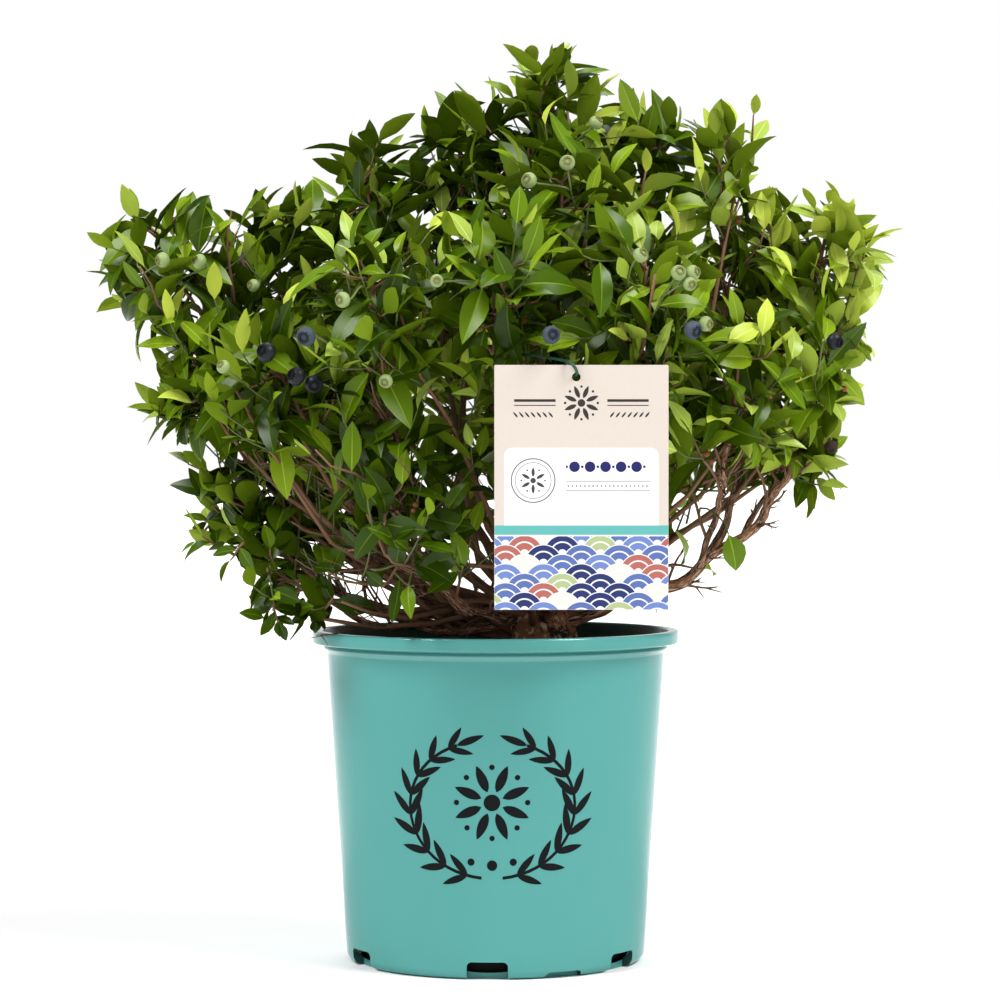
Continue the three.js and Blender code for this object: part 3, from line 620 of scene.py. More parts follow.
def grow_spurs(index, mass):
    """Thin side twigs along a bough, bare at the foot, with a few leaves towards the tip."""
    roll = Dice(SEED + SEED_STEP * (index + len(MASSES)))
    bough = bough_of(mass)
    count = round(bough.length() / SPUR_SPACING)
    for j in range(count):
        share = lerp(SPURS_FROM, 1, (j + roll(0.1, 0.9)) / count)
        foot = bough.point(share)
        if foot.z < POT_HEIGHT + SPUR_ABOVE_RIM:
            continue
        along, outward = round_twig(bough, share, j * GOLDEN + roll(0, 1))
        way = (along * roll(0.2, 0.9) + outward + UP * roll(0.3, 0.9)).normalized()
        length = roll(*SPUR_REACH)
        end = foot + way * length
        if not in_crown([end, foot.lerp(end, 0.5)]):
            continue
        spur = bent(foot, (way + along * 0.5).normalized(), (way + UP * SPUR.lift).normalized(), end)
        add_twig(spur.crooked(TWIG_CROOK, foot.x + foot.z), SPUR)
        leafy(spur, roll, round(length / (LEAF_SPACING * SPUR_LEAF_SPACING)), SPUR.bare, SMALLER)
        for _ in range(SPUR_SIDES):
            grow_side(spur, roll(0.3, 0.8), roll(0, TURN), roll)


STUB_SHORTEST, STUB_LONGEST, STUB_LONGEST_OUTSIDE = 9, 58, 20
STUB_RADII = (0.6, 1.2)
FORKED_FROM = 16  # length of stub, from which on it has side stubs
FORKS = ((0.25, 0.5), (0.5, 0.7), (0.7, 0.92))  # where along it they leave
FORK_SHORTEST, FORK_LONGEST, FORK_GIRTH = 3, 0.45, 0.6  # the last two are shares of the stub's


def grow_stubs(index, mass):
    """Dead stubs, leafless and a little crooked, along a bough."""
    roll = Dice(SEED + SEED_STEP * (index + 4 * len(MASSES)))
    bough = bough_of(mass)
    for _ in range(round(bough.length() / STUB_SPACING)):
        share = roll(0.12, 0.95)
        along, x, z = bough.frame(share)
        turn = roll(0, TURN)
        way = (along * roll(0.4, 1.5) + x * math.sin(turn) + z * math.cos(turn)).normalized()
        foot = bough.point(share)
        longest = STUB_LONGEST if foot.xy.length < BARE_REACH else STUB_LONGEST_OUTSIDE
        end = foot + way * roll(STUB_SHORTEST, longest)
        if foot.z > POT_HEIGHT - RIM_BAND and clear_of_pot(end) and clear_of_card(end):
            add_stub(foot, way, end, roll(*STUB_RADII), roll)


def add_stub(foot, way, end, radius, roll):
    """A dead stub, with three side stubs of its own where it is long."""
    crook = Vector((roll(-0.7, 0.7), roll(-0.7, 0.7), roll(-0.3, 0.9)))
    curve = bent(foot, way, (way + crook).normalized(), end)
    plant.dead.append((curve, radius))
    size = (end - foot).length
    if size > FORKED_FROM:
        for share in [roll(*between) for between in FORKS]:
            joint = curve.point(share)
            chance = Vector((roll(-1, 1), roll(-1, 1), roll(-0.6, 1)))
            aside = (curve.direction(share) + chance).normalized()
            tip = joint + aside * roll(FORK_SHORTEST, FORK_LONGEST * size)
            plant.dead.append((bent(joint, aside, aside, tip), FORK_GIRTH * radius))


WHIP_INTO_MASS = (0.1, 0.6)  # of a mass's half extents, from its middle to a whip's end
WHIP_ASIDE = 12  # from the trunk's middle line to a whip's foot
WHIP_BELLY, WHIP_CLIMB, WHIP_END = (0.35, 0.55), (0.4, 1.6), 0.3
WHIP_TIP = 0.9
WHIP_CHECKS = 12  # points along a whip, which are clear of pot and card past the first few
WHIP_SIDES, WHIP_SIDES_FROM, WHIP_SIDES_STEP, WHIP_SIDES_ABOVE_RIM = 5, 0.4, 0.12, 25
WHIP_NOISE, WHIP_NOISE_STEP = 0.6, 3.1
UPRIGHT_WHIPS, FLAT_WHIPS = (0.25, 0.75), (0.0, 0.22)  # how steeply they leave the trunk
THIN_WHIPS, STOUT_WHIPS = (1.9, 2.9), (2.2, 3.8)  # radius at the foot


def grow_whip(number, mass, steepness, girth):
    """A thin stem from the trunk up among the boughs, bare at the foot."""
    roll = Dice(SEED + SEED_STEP * (number + 2 * len(MASSES)))
    aim = Vector((roll(-1, 1), roll(-1, 1), roll(-0.6, 0.6)))
    end = mass.at + times(aim.normalized(), mass.size) * roll(*WHIP_INTO_MASS)
    foot = TRUNK.point(roll(0.35, 1))
    foot += Vector((roll(-WHIP_ASIDE, WHIP_ASIDE), roll(-WHIP_ASIDE, WHIP_ASIDE), 0))
    out = Vector((end.x - foot.x, end.y - foot.y, 0)).normalized()
    rise = roll(*steepness)
    depart = (out * (1 - rise) + UP * rise + Vector((roll(-0.2, 0.2), roll(-0.2, 0.2), 0))).normalized()
    reach = (end - foot).length
    arrive = ((end - foot).normalized() + UP * roll(*WHIP_CLIMB)).normalized()
    belly = foot + depart * reach * roll(*WHIP_BELLY)
    whip = Sweep(foot, belly, end - arrive * WHIP_END * reach, end)
    whip.crooked(WHIP_CROOK, WHIP_NOISE_STEP * number + WHIP_NOISE)
    checks = [whip.point(t / WHIP_CHECKS) for t in range(3, WHIP_CHECKS + 1)]
    if not all(clear_of_pot(p) and clear_of_card(p) for p in checks):
        return
    plant.twigs.append((whip, roll(*girth), WHIP_TIP, False))
    for j in range(WHIP_SIDES):
        share = WHIP_SIDES_FROM + WHIP_SIDES_STEP * j
        if whip.point(share).z > POT_HEIGHT + WHIP_SIDES_ABOVE_RIM:
            grow_side(whip, share, roll(0, TURN), roll)


FAR = 1e6
ABOVE_COUNTS = 0.5  # what each millimetre above a point adds to a twig's distance from it


def nearest_twig(point, low, high):
    """The nearest place on a twig at between two distances, its direction, and whether there is one."""
    apart = np.linalg.norm(NODES - np.array(point), axis=1)
    apart = apart + ABOVE_COUNTS * np.maximum(0, NODES[:, 2] - point.z)
    apart[(apart < low) | (apart > high)] = FAR
    found = int(apart.argmin())
    return Vector(NODES[found]), WAYS[found], apart[found] < FAR


STRAY_FROM, STRAY_TO = 48, 140  # distances from its tip at which a wayward shoot may start
STRAY_LEAF = 0.66  # of a leaf's length, from the shoot's end to its last leaf's tip


def grow_wayward(number, tip, count, vigour):
    """A leafy shoot that stands out of the crown, so that its last leaf ends at a given place."""
    roll = Dice(SEED + SEED_STEP * (number + 9 * len(MASSES)))
    tip = Vector(tip)
    foot, onward, found = nearest_twig(tip, STRAY_FROM, STRAY_TO)
    if not found:
        return
    way = (tip - foot).normalized()
    end = tip - way * (STRAY_LEAF * LEAF_LENGTH * vigour)
    shoot = bent(foot, (way + onward * 0.5).normalized(), (way + UP * STRAY.lift).normalized(), end)
    leafy(add_twig(shoot, STRAY), roll, count, STRAY.bare, vigour, free=True)


for number, grown in enumerate(MASSES.values()):
    grow_mass(number, grown)
    grow_spurs(number, grown)
    grow_stubs(number, grown)
for number in range(WHIPS):
    # every seventh mass, so that the whips are dealt out all round
    grow_whip(number, list(MASSES.values())[number * 7 % len(MASSES)], UPRIGHT_WHIPS, THIN_WHIPS)
for number in range(LOW_WHIPS):
    grow_whip(WHIPS + number, MASSES[LOW_MASSES[number % len(LOW_MASSES)]], FLAT_WHIPS, STOUT_WHIPS)
SAMPLES = [(curve.point(t), curve.direction(t)) for curve, *_ in plant.twigs for t in (0.3, 0.6, 0.9)]
NODES = np.array([point for point, _ in SAMPLES])
WAYS = [way for _, way in SAMPLES]
for number, shoot in enumerate(WAYWARD):
    grow_wayward(number, *shoot)

# The bare twig that stands up among the leaves at the left
BARE_TWIG_NEAR, BARE_TWIG_TIP, BARE_TWIG_RADIUS = Vector((-160, -14, 408)), Vector((-165, -16, 464)), 1.5
foot, *_ = nearest_twig(BARE_TWIG_NEAR, 0, 60)
add_stub(foot, UP, BARE_TWIG_TIP, BARE_TWIG_RADIUS, Dice(SEED + 3))

# The broad leaf that hangs below the right limb
BROAD_LEAF_FOOT, BROAD_LEAF_TIP = Vector((143, -52, 268)), Vector((150, -56, 244))
BROAD_LEAF_FACE = Vector((0.2, -0.95, 0.2))
BROAD_LEAF_LENGTH, BROAD_LEAF_TONE, BROAD_LEAF_WIDTH = 25, 0.45, 1.75
foot, onward, _ = nearest_twig(BROAD_LEAF_FOOT, 0, 60)
plant.twigs.append((bent(foot, onward, -UP, BROAD_LEAF_FOOT), 0.7, 0.5, True))
hanging = (BROAD_LEAF_TIP - BROAD_LEAF_FOOT).normalized()
plant.leaves.append(
    (BROAD_LEAF_FOOT, hanging, BROAD_LEAF_FACE, BROAD_LEAF_LENGTH, BROAD_LEAF_TONE, BROAD_LEAF_WIDTH)
)

# ---------- Where the berries hang ----------

EYE = Vector((2.8, -2149, 319.8))  # where the plant is seen from
SEARCH_FRONT, SEARCH_BACK, SEARCH_STEP = -190, 60, 3
BERRY_DEPTH = 0.86  # square of the share of a mass's half extents at which a berry hangs
BEHIND, OUT_OF_TWIG = 20, 24
LEAF_MARKS = (0.1, 0.4, 0.7, 1)  # along a leaf, where it is tested against the berries
BERRY_CLEARANCE, BERRY_EDGE, IN_FRONT = 3, 2, 60


def front_of_crown(across, height):
    """The place in front of the crown where something is seen at this place of its middle."""
    for y in range(SEARCH_FRONT, SEARCH_BACK, SEARCH_STEP):
        p = EYE.lerp(Vector((across, 0, height)), (y - EYE.y) / -EYE.y)
        apart = (np.array(p) - CENTRES) / EXTENTS
        if (apart**2).sum(axis=1).min() < BERRY_DEPTH:
            return p
    return Vector((across, 0, height))


berries = [(front_of_crown(*seen), kind) for kind, spots in BERRIES.items() for seen in spots]
SHOWN = len(berries)
roll = Dice(SEED)
behind = [p for p, _ in SAMPLES if p.y > BEHIND]
for _ in range(BERRIES_BEHIND):
    spot = behind[int(roll(0, len(behind)))]
    out = Vector((spot.x, spot.y, 0)).normalized()
    place = spot + out * OUT_OF_TWIG + UP * roll(-14, 4)
    chance = roll()
    berries.append((place, "ripe" if chance < 0.22 else "bloomed" if chance < 0.45 else "green"))
places = np.array([p for p, _ in berries])


def hides_berry(leaf):
    """Whether a leaf runs through a berry or hangs right before one that is seen from the front."""
    base, way, face, length, *_ = leaf
    for share in LEAF_MARKS:
        apart = places - np.array(base + way * (length * share))
        near = np.linalg.norm(apart, axis=1) < BERRY_RADIUS + BERRY_CLEARANCE
        over = np.hypot(apart[:, 0], apart[:, 2]) < BERRY_RADIUS - BERRY_EDGE
        before = over & (apart[:, 1] > 0) & (apart[:, 1] < IN_FRONT)
        if near.any() or before[:SHOWN].any():
            return True
    return False


def stays_out(leaf, roll):
    """Whether a leaf is one of those left out where the crown is thin."""
    chance = roll()
    for centre, extent, share in OPEN_SPOTS:
        apart = (np.array(leaf[0]) - centre) / extent
        if (apart**2).sum() < 1 and chance > share:
            return True
    return False


plant.leaves = [leaf for leaf in plant.leaves if not hides_berry(leaf)]
roll = Dice(SEED + 21)
plant.leaves = [leaf for leaf in plant.leaves if not stays_out(leaf, roll)]

# ---------- Working in Blender ----------


def start_fresh():
    """Nothing selected, in object mode."""
    if bpy.context.mode != "OBJECT":
        bpy.ops.object.mode_set(mode="OBJECT")
    bpy.ops.object.select_all(action="DESELECT")


def finish_modifier(obj, kind, **settings):
    """Adds a modifier with these settings and applies it."""
    modifier = obj.modifiers.new(kind.lower(), kind)
    for name, value in settings.items():
        setattr(modifier, name, value)
    bpy.context.view_layer.objects.active = obj
    bpy.ops.object.modifier_apply(modifier=modifier.name)


def select_only(obj):
    start_fresh()
    obj.select_set(True)
    bpy.context.view_layer.objects.active = obj


def start_shaping():
    """The new primitive, its pose put into its mesh, selected all over in edit mode."""
    obj = bpy.context.object
    bpy.ops.object.transform_apply(location=True, rotation=True, scale=True)
    bpy.ops.object.mode_set(mode="EDIT")
    bpy.ops.mesh.select_all(action="SELECT")
    return obj


def end_in_triangles():
    """Cuts all that is shaped into triangles and leaves edit mode."""
    bpy.ops.mesh.select_all(action="SELECT")
    bpy.ops.mesh.quads_convert_to_tris()
    bpy.ops.object.mode_set(mode="OBJECT")


SQUARE_ON = 0.9  # a face looks along an axis if its normal reaches this far along it


def pick(obj, vertices=None, faces=None, edges=None):
    """In edit mode, selects what a test on the mesh's elements picks, and nothing else."""
    kind = "VERT" if vertices else "EDGE" if edges else "FACE"
    bpy.ops.mesh.select_mode(type=kind)
    bpy.ops.mesh.select_all(action="DESELECT")
    mesh = bmesh.from_edit_mesh(obj.data)
    chosen = mesh.verts if vertices else mesh.edges if edges else mesh.faces
    test = vertices or edges or faces
    for element in chosen:
        if test(element):
            element.select_set(True)
    mesh.select_flush_mode()
    bmesh.update_edit_mesh(obj.data)


def settle(obj, name, angle=None):
    """Names a finished piece, puts its place into its mesh and smooths it."""
    select_only(obj)
    bpy.ops.object.transform_apply(location=True, rotation=True, scale=True)
    if angle is None:
        bpy.ops.object.shade_smooth()
    else:
        bpy.ops.object.shade_smooth_by_angle(angle=math.radians(angle))
    obj.name = obj.data.name = name
    return obj


def mesh_object(name, vertices, triangles, smooth=True):
    """A piece from an array of places, in metres, and an array of triangles."""
    mesh = bpy.data.meshes.new(name)
    mesh.vertices.add(len(vertices))
    mesh.vertices.foreach_set("co", np.asarray(vertices, np.float32).ravel())
    mesh.loops.add(triangles.size)
    mesh.loops.foreach_set("vertex_index", triangles.ravel().astype(np.int32))
    mesh.polygons.add(len(triangles))
    mesh.polygons.foreach_set("loop_start", np.arange(0, triangles.size, 3, dtype=np.int32))
    mesh.polygons.foreach_set("use_smooth", np.full(len(triangles), smooth))
    mesh.update(calc_edges=True)
    mesh.validate()
    obj = bpy.data.objects.new(name, mesh)
    bpy.context.scene.collection.objects.link(obj)
    return obj


def mesh_arrays(obj):
    """A mesh's points and its triangles."""
    points = np.array([v.co for v in obj.data.vertices])
    return points, np.array([p.vertices for p in obj.data.polygons])


# ---------- Materials ----------


class Value:
    """A number's socket with Python's operators: each adds the Math node that it stands for."""

    def __init__(self, paint, socket):
        self.paint, self.socket = paint, socket

    def maths(self, operation, *values):
        return self.paint.node("ShaderNodeMath", {"operation": operation}, *values)

    def __add__(self, other):
        return self.maths("ADD", self, other)

    def __sub__(self, other):
        return self.maths("SUBTRACT", self, other)

    def __rsub__(self, other):
        return self.maths("SUBTRACT", other, self)

    def __mul__(self, other):
        return self.maths("MULTIPLY", self, other)

    def __truediv__(self, other):
        return self.maths("DIVIDE", self, other)

    def __rtruediv__(self, other):
        return self.maths("DIVIDE", other, self)

    def __mod__(self, other):
        return self.maths("FLOORED_MODULO", self, other)

    def __lt__(self, other):
        return self.maths("LESS_THAN", self, other)

    def __gt__(self, other):
        return self.maths("GREATER_THAN", self, other)

    def __abs__(self):
        return self.maths("ABSOLUTE", self)

    def __or__(self, other):
        return self.maths("MAXIMUM", self, other)

    def floor(self):
        return self.maths("FLOOR", self)

    def root(self):
        return self.maths("SQRT", self)

    __radd__, __rmul__ = __add__, __mul__


class Paint:
    """A material being mixed: its nodes and its Principled shader."""

    def __init__(self, name, color, roughness, **constants):
        self.material = bpy.data.materials.new(name)
        self.material.use_nodes = True
        self.tree = self.material.node_tree
        self.shader = self.tree.nodes["Principled BSDF"]
        self.shader.inputs["Base Color"].default_value = (*color, 1)
        self.shader.inputs["Roughness"].default_value = roughness
        for key, value in constants.items():
            self.shader.inputs[key.replace("_", " ")].default_value = value
        self.material.diffuse_color = (*color, 1)

    def node(self, kind, settings, *values, out=0, **named):
        """Adds a node: its settings first, then the values or links of its sockets."""
        node = self.tree.nodes.new(kind)
        for key, value in settings.items():
            if key == "stops":
                self.set_stops(node.color_ramp, value)
            else:
                setattr(node, key, value)
        for key, value in [*enumerate(values), *named.items()]:
            socket = node.inputs[key if isinstance(key, int) else key.replace("_", " ")]
            if isinstance(value, Value):
                self.tree.links.new(value.socket, socket)
            else:
                socket.default_value = value
        return Value(self, node.outputs[out])

    @staticmethod
    def set_stops(ramp, stops):
        while len(ramp.elements) < len(stops):
            ramp.elements.new(0.5)
        for element, (place, color) in zip(ramp.elements, stops):
            element.position = place
            element.color = (*color, 1)

    def place(self, turn=(0, 0, 0), scale=(1, 1, 1), shift=(0, 0, 0)):
        """Object coordinates, moved, turned and scaled."""
        spot = self.node("ShaderNodeTexCoord", {}, out=3)
        return self.node("ShaderNodeMapping", {}, spot, shift, turn, scale)

    def axes(self, place):
        """The three numbers of a place."""
        split = self.node("ShaderNodeSeparateXYZ", {}, place)
        outputs = split.socket.node.outputs
        return [Value(self, outputs[i]) for i in range(3)]

    def noise(self, place, scale, detail=4.0, roughness=0.55):
        return self.node("ShaderNodeTexNoise", {}, place, Scale=scale, Detail=detail, Roughness=roughness)

    def mix(self, amount, first, second):
        """A colour between two, by an amount from 0 to 1."""
        tint = [(*c, 1) if isinstance(c, tuple) else c for c in (first, second)]
        node = self.tree.nodes.new("ShaderNodeMix")
        node.data_type = "RGBA"
        for socket, value in zip((node.inputs[0], node.inputs[6], node.inputs[7]), (amount, *tint)):
            if isinstance(value, Value):
                self.tree.links.new(value.socket, socket)
            else:
                socket.default_value = value
        return Value(self, node.outputs[2])

    def ramp(self, amount, stops, interpolation="LINEAR"):
        found = self.node("ShaderNodeValToRGB", {"stops": stops}, amount)
        found.socket.node.color_ramp.interpolation = interpolation
        return found

    def feed(self, color=None, roughness=None, bump=None, depth=0.001, strength=1.0):
        """Links what changes over the surface to the shader."""
        if color is not None:
            self.tree.links.new(color.socket, self.shader.inputs["Base Color"])
        if roughness is not None:
            self.tree.links.new(roughness.socket, self.shader.inputs["Roughness"])
        if bump is not None:
            lifted = self.node("ShaderNodeBump", {}, Strength=strength, Distance=depth, Height=bump)
            self.tree.links.new(lifted.socket, self.shader.inputs["Normal"])
        return self.material


def plain(name, color, roughness, **constants):
    """A material of one colour all over."""
    return Paint(name, color, roughness, **constants).material


NONE, FULL = (0, 0, 0), (1, 1, 1)  # the ends of a ramp that serves as a mask


# Leaf tones from dark to pale: upper face, midrib, under face. The darker tones hold old leaves and leaves in
# painted shade, the paler ones young leaves and leaves in painted light, and the bright tone is greyed with a
# painted sheen
LEAF_TONES = [
    ("deep_shaded", (0.022, 0.049, 0.0005), (0.070, 0.115, 0.006), (0.048, 0.084, 0.002)),
    ("old_and_shaded", (0.047, 0.096, 0.001), (0.12, 0.19, 0.010), (0.078, 0.128, 0.004)),
    ("full", (0.093, 0.165, 0.003), (0.19, 0.285, 0.018), (0.118, 0.182, 0.008)),
    ("fresh", (0.170, 0.262, 0.008), (0.29, 0.40, 0.038), (0.178, 0.258, 0.014)),
    ("bright_lit_sheen", (0.300, 0.405, 0.060), (0.45, 0.55, 0.12), (0.290, 0.380, 0.045)),
    ("young_and_lit", (0.420, 0.510, 0.060), (0.56, 0.63, 0.13), (0.400, 0.480, 0.055)),
]


def leaf_paints(tone, top, rib, under):
    return [
        plain(f"leaf_{tone}_upper_face", top, 0.28, Specular_IOR_Level=0.17),
        plain(f"leaf_{tone}_midrib", rib, 0.5, Specular_IOR_Level=0.16),
        plain(f"leaf_{tone}_under_face", under, 0.7, Specular_IOR_Level=0.02),
    ]


# ---------- Leaves ----------

# Shares of a leaf's length, and its half width there, of the widest
LEAF_ROWS = [
    (0.0, 0.06), (0.08, 0.2), (0.22, 0.7), (0.41, 0.99),
    (0.61, 0.93), (0.79, 0.62), (0.92, 0.27), (1.0, 0.02),
]
LEAF_HALF_WIDTH = 0.186  # of its length
RIB_HALF_WIDTH, RIB_TAPER, RIB_MOST = 0.013, 1.25, 0.3  # the last is a share of the half width
LEAF_THICKNESS = 0.012
# Fold along the midrib, droop of the tip, waviness and twist of each kind of blade
LEAF_SHAPES = [
    (0.24, 0.20, 0.07, 0.0), (0.34, 0.34, 0.10, 0.25), (0.16, 0.12, 0.10, -0.2), (0.28, 0.46, 0.07, 0.15),
    (0.42, 0.26, 0.12, -0.3), (0.20, -0.08, 0.08, 0.2), (0.32, 0.56, 0.10, -0.15), (0.12, 0.28, 0.14, 0.35),
]
WAVES = 8  # radians of waviness along a leaf
ARCH, SHORTENED = 0.2, 0.3  # how far a drooping leaf first arches up, and how its droop shortens it
ROW_REACH = 0.01  # how near to a row's place its points lie
INNER = 0.6  # of the half width, within which a point is one of the pair at the midrib
UNDER = -1  # height at which the under face is shaped
PUT_ASIDE = 2  # where rows go once they are placed, so that they aren't picked again
RIB_ACROSS = 0.03  # triangles that stay this near the middle line belong to the midrib
LEAF_SMOOTH, BERRY_SMOOTH = 65, 50  # degrees between faces that still look rounded


def in_row(at):
    """A test for the points of the row across a blade at a place along it."""
    return lambda v: abs(v.co.x - at) < ROW_REACH


def leaf_master(fold, droop, wave, twist):
    """One closed blade, a unit long from the origin along +X, with its upper face to +Z."""
    start_fresh()
    steps = len(LEAF_ROWS) - 1
    bpy.ops.mesh.primitive_grid_add(x_subdivisions=steps, y_subdivisions=3, size=1, location=(0.5, 0, 0))
    blade = start_shaping()
    for row, (share, shape) in enumerate(LEAF_ROWS):
        at, half = row / steps, shape * LEAF_HALF_WIDTH
        here = in_row(at)
        # the row at its width, the inner pair close to the midrib, the sides lifted
        pick(blade, vertices=here)
        bpy.ops.transform.resize(value=(1, 2 * half, 1), center_override=(at, 0, 0))
        pick(blade, vertices=lambda v: here(v) and abs(v.co.y) < INNER * half)
        rib = min(RIB_HALF_WIDTH * (RIB_TAPER - share), RIB_MOST * half)
        bpy.ops.transform.resize(value=(1, 3 * rib / half, 1), center_override=(at, 0, 0))
        for side in (-1, 1):
            pick(blade, vertices=lambda v: here(v) and side * v.co.y > INNER * half)
            lift = half * (fold + wave * math.sin(WAVES * share + side))
            bpy.ops.transform.translate(value=(0, 0, lift))
    # the under face: a copy turned over, its midrib sunk by the leaf's thickness
    bpy.ops.mesh.select_all(action="SELECT")
    bpy.ops.mesh.duplicate()
    bpy.ops.mesh.flip_normals()
    bpy.ops.transform.translate(value=(0, 0, UNDER))
    for row, (share, shape) in enumerate(LEAF_ROWS):
        here, half = in_row(row / steps), shape * LEAF_HALF_WIDTH
        pick(blade, vertices=lambda v: here(v) and abs(v.co.y) < INNER * half and v.co.z < UNDER / 2)
        bpy.ops.mesh.merge(type="CENTER")
        bpy.ops.transform.translate(value=(0, 0, -LEAF_THICKNESS))
    pick(blade, vertices=lambda v: v.co.z < UNDER / 2)
    bpy.ops.transform.translate(value=(0, 0, -UNDER))
    bpy.ops.mesh.select_all(action="SELECT")
    bpy.ops.mesh.remove_doubles(threshold=1e-5)
    for end in (0, 1):
        pick(blade, vertices=in_row(end))
        bpy.ops.mesh.merge(type="CENTER")
    # each row to its place along the leaf, lowered by the droop and turned by the twist
    for row in range(steps, -1, -1):
        at, share = row / steps, LEAF_ROWS[row][0]
        pick(blade, vertices=in_row(at))
        bpy.ops.transform.rotate(value=twist * share, orient_axis="X", center_override=(at, 0, 0))
        ahead = share * (1 - SHORTENED * abs(droop) * share) - at
        sunk = -droop * share**2 + ARCH * droop * share
        bpy.ops.transform.translate(value=(ahead + PUT_ASIDE, 0, sunk))
    bpy.ops.mesh.select_all(action="SELECT")
    bpy.ops.transform.translate(value=(-PUT_ASIDE, 0, 0))
    end_in_triangles()
    return blade


def leaf_parts(blade):
    """The blade's points, triangles and the material that each triangle takes."""
    points, triangles = mesh_arrays(blade)
    kinds = []
    for p in blade.data.polygons:
        across = max(abs(blade.data.vertices[i].co.y) for i in p.vertices)
        upper = p.normal.z > 0
        kinds.append(1 if upper and across < RIB_ACROSS else 0 if upper else 2)
    return points, triangles, np.array(kinds)


def grow_leaves(name, leaves, masters, paints):
    """One piece of many leaves: each a master blade set in its pose."""
    points, triangles, kinds, total = [], [], [], 0
    for shape, (blade, faces, sorts) in enumerate(masters):
        chosen = leaves[shape::len(masters)]
        if not chosen:
            continue
        base, way, face = (np.array([leaf[i] for leaf in chosen]) for i in range(3))
        length, width = (np.array([leaf[i] for leaf in chosen])[:, None] for i in (3, 5))
        side = np.cross(face, way)
        axes = np.stack([way * length, side * length * width, face * length], axis=1)
        placed = np.einsum("vk,nkc->nvc", blade, axes) + base[:, None, :]
        points.append(placed.reshape(-1, 3))
        offsets = total + np.arange(len(chosen)) * len(blade)
        triangles.append((faces[None] + offsets[:, None, None]).reshape(-1, 3))
        kinds.append(np.tile(sorts, len(chosen)))
        total += len(chosen) * len(blade)
    obj = mesh_object(name, np.concatenate(points) * MM, np.concatenate(triangles))
    for paint in paints:
        obj.data.materials.append(paint)
    sorts = np.concatenate(kinds).astype(np.int32)
    obj.data.polygons.foreach_set("material_index", sorts)
    select_only(obj)
    bpy.ops.object.shade_smooth_by_angle(angle=math.radians(LEAF_SMOOTH))
    crease_between(obj.data, sorts)
    return obj


def crease_between(mesh, sorts):
    """Marks the edges where two materials meet as sharp."""
    edges = np.zeros(len(mesh.loops), np.int32)
    mesh.loops.foreach_get("edge_index", edges)
    least, most = np.full(len(mesh.edges), sorts.max()), np.full(len(mesh.edges), sorts.min())
    np.minimum.at(least, edges, np.repeat(sorts, 3))
    np.maximum.at(most, edges, np.repeat(sorts, 3))
    sharp = np.zeros(len(mesh.edges), bool)
    marks = mesh.attributes.get("sharp_edge") or mesh.attributes.new("sharp_edge", "BOOLEAN", "EDGE")
    marks.data.foreach_get("value", sharp)
    marks.data.foreach_set("value", sharp | (least != most))


blades = [leaf_master(*shape) for shape in LEAF_SHAPES]
masters = [leaf_parts(blade) for blade in blades]
for blade in blades:
    bpy.data.objects.remove(blade)

ALL_LEAVES = [f"leaves_{name}" for name in MASSES]
TONES = len(LEAF_TONES)
tones = np.clip(np.array([leaf[4] for leaf in plant.leaves]) * TONES, 0, TONES - 0.01).astype(int)
for number, (tone, *colors) in enumerate(LEAF_TONES):
    chosen = [leaf for leaf, its in zip(plant.leaves, tones) if its == number]
    piece = grow_leaves(f"leaves_{tone}", chosen, masters, leaf_paints(tone, *colors))
    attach(piece, "root")
    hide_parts(*ALL_LEAVES)


# ---------- Twigs, boughs and trunk ----------

BARK_ROUND = 5  # radius that every limb has in the bark's pattern, in millimetres


def tube(curve, radius_at, sides, steps, start=0.0):
    """A closed tube round a curve: its points, triangles, and each point's place on the bark."""
    points, places = [], []
    length = curve.length()
    for i in range(steps + 1):
        t = i / steps
        along, x, z = curve.frame(t)
        centre = curve.point(t)
        for j in range(sides):
            angle = j * TURN / sides
            radius = radius_at(t, angle)
            points.append(centre + x * (radius * math.cos(angle)) + z * (radius * math.sin(angle)))
            places.append((BARK_ROUND * math.cos(angle), BARK_ROUND * math.sin(angle), start + t * length))
    points += [curve.point(0), curve.point(1)]
    places += [(0, 0, start), (0, 0, start + length)]
    faces = []
    first, final = len(points) - 2, len(points) - 1
    for j in range(sides):
        k = (j + 1) % sides
        faces.append((first, k, j))
        faces.append((final, steps * sides + j, steps * sides + k))
        for i in range(steps):
            a, b, c, d = i * sides + j, i * sides + k, (i + 1) * sides + k, (i + 1) * sides + j
            faces += [(a, b, c), (a, c, d)]
    return np.array(points), np.array(faces), np.array(places)


def join_tubes(name, tubes, paint):
    """One piece of many tubes, which carries each point's place on the bark."""
    points, faces, total = [], [], 0
    for some, triangles, _ in tubes:
        points.append(some)
        faces.append(triangles + total)
        total += len(some)
    obj = mesh_object(name, np.concatenate(points) * MM, np.concatenate(faces))
    place = obj.data.attributes.new("bark_place", "FLOAT_VECTOR", "POINT")
    place.data.foreach_set("vector", np.concatenate([its for _, _, its in tubes]).astype(np.float32).ravel())
    obj.data.materials.append(paint)
    return obj


# A relief's width round a limb in the noise, its length along it in millimetres, and its depth
RIDGES, SCALES = (2.2, 26, 0.26), (5, 7, 0.17)
COLLAR, COLLAR_LENGTH = 0.3, 9  # swelling at a limb's foot
KNOT_SPACING, KNOT_FROM, KNOT_DEPTH = 11, 0.2, 0.8


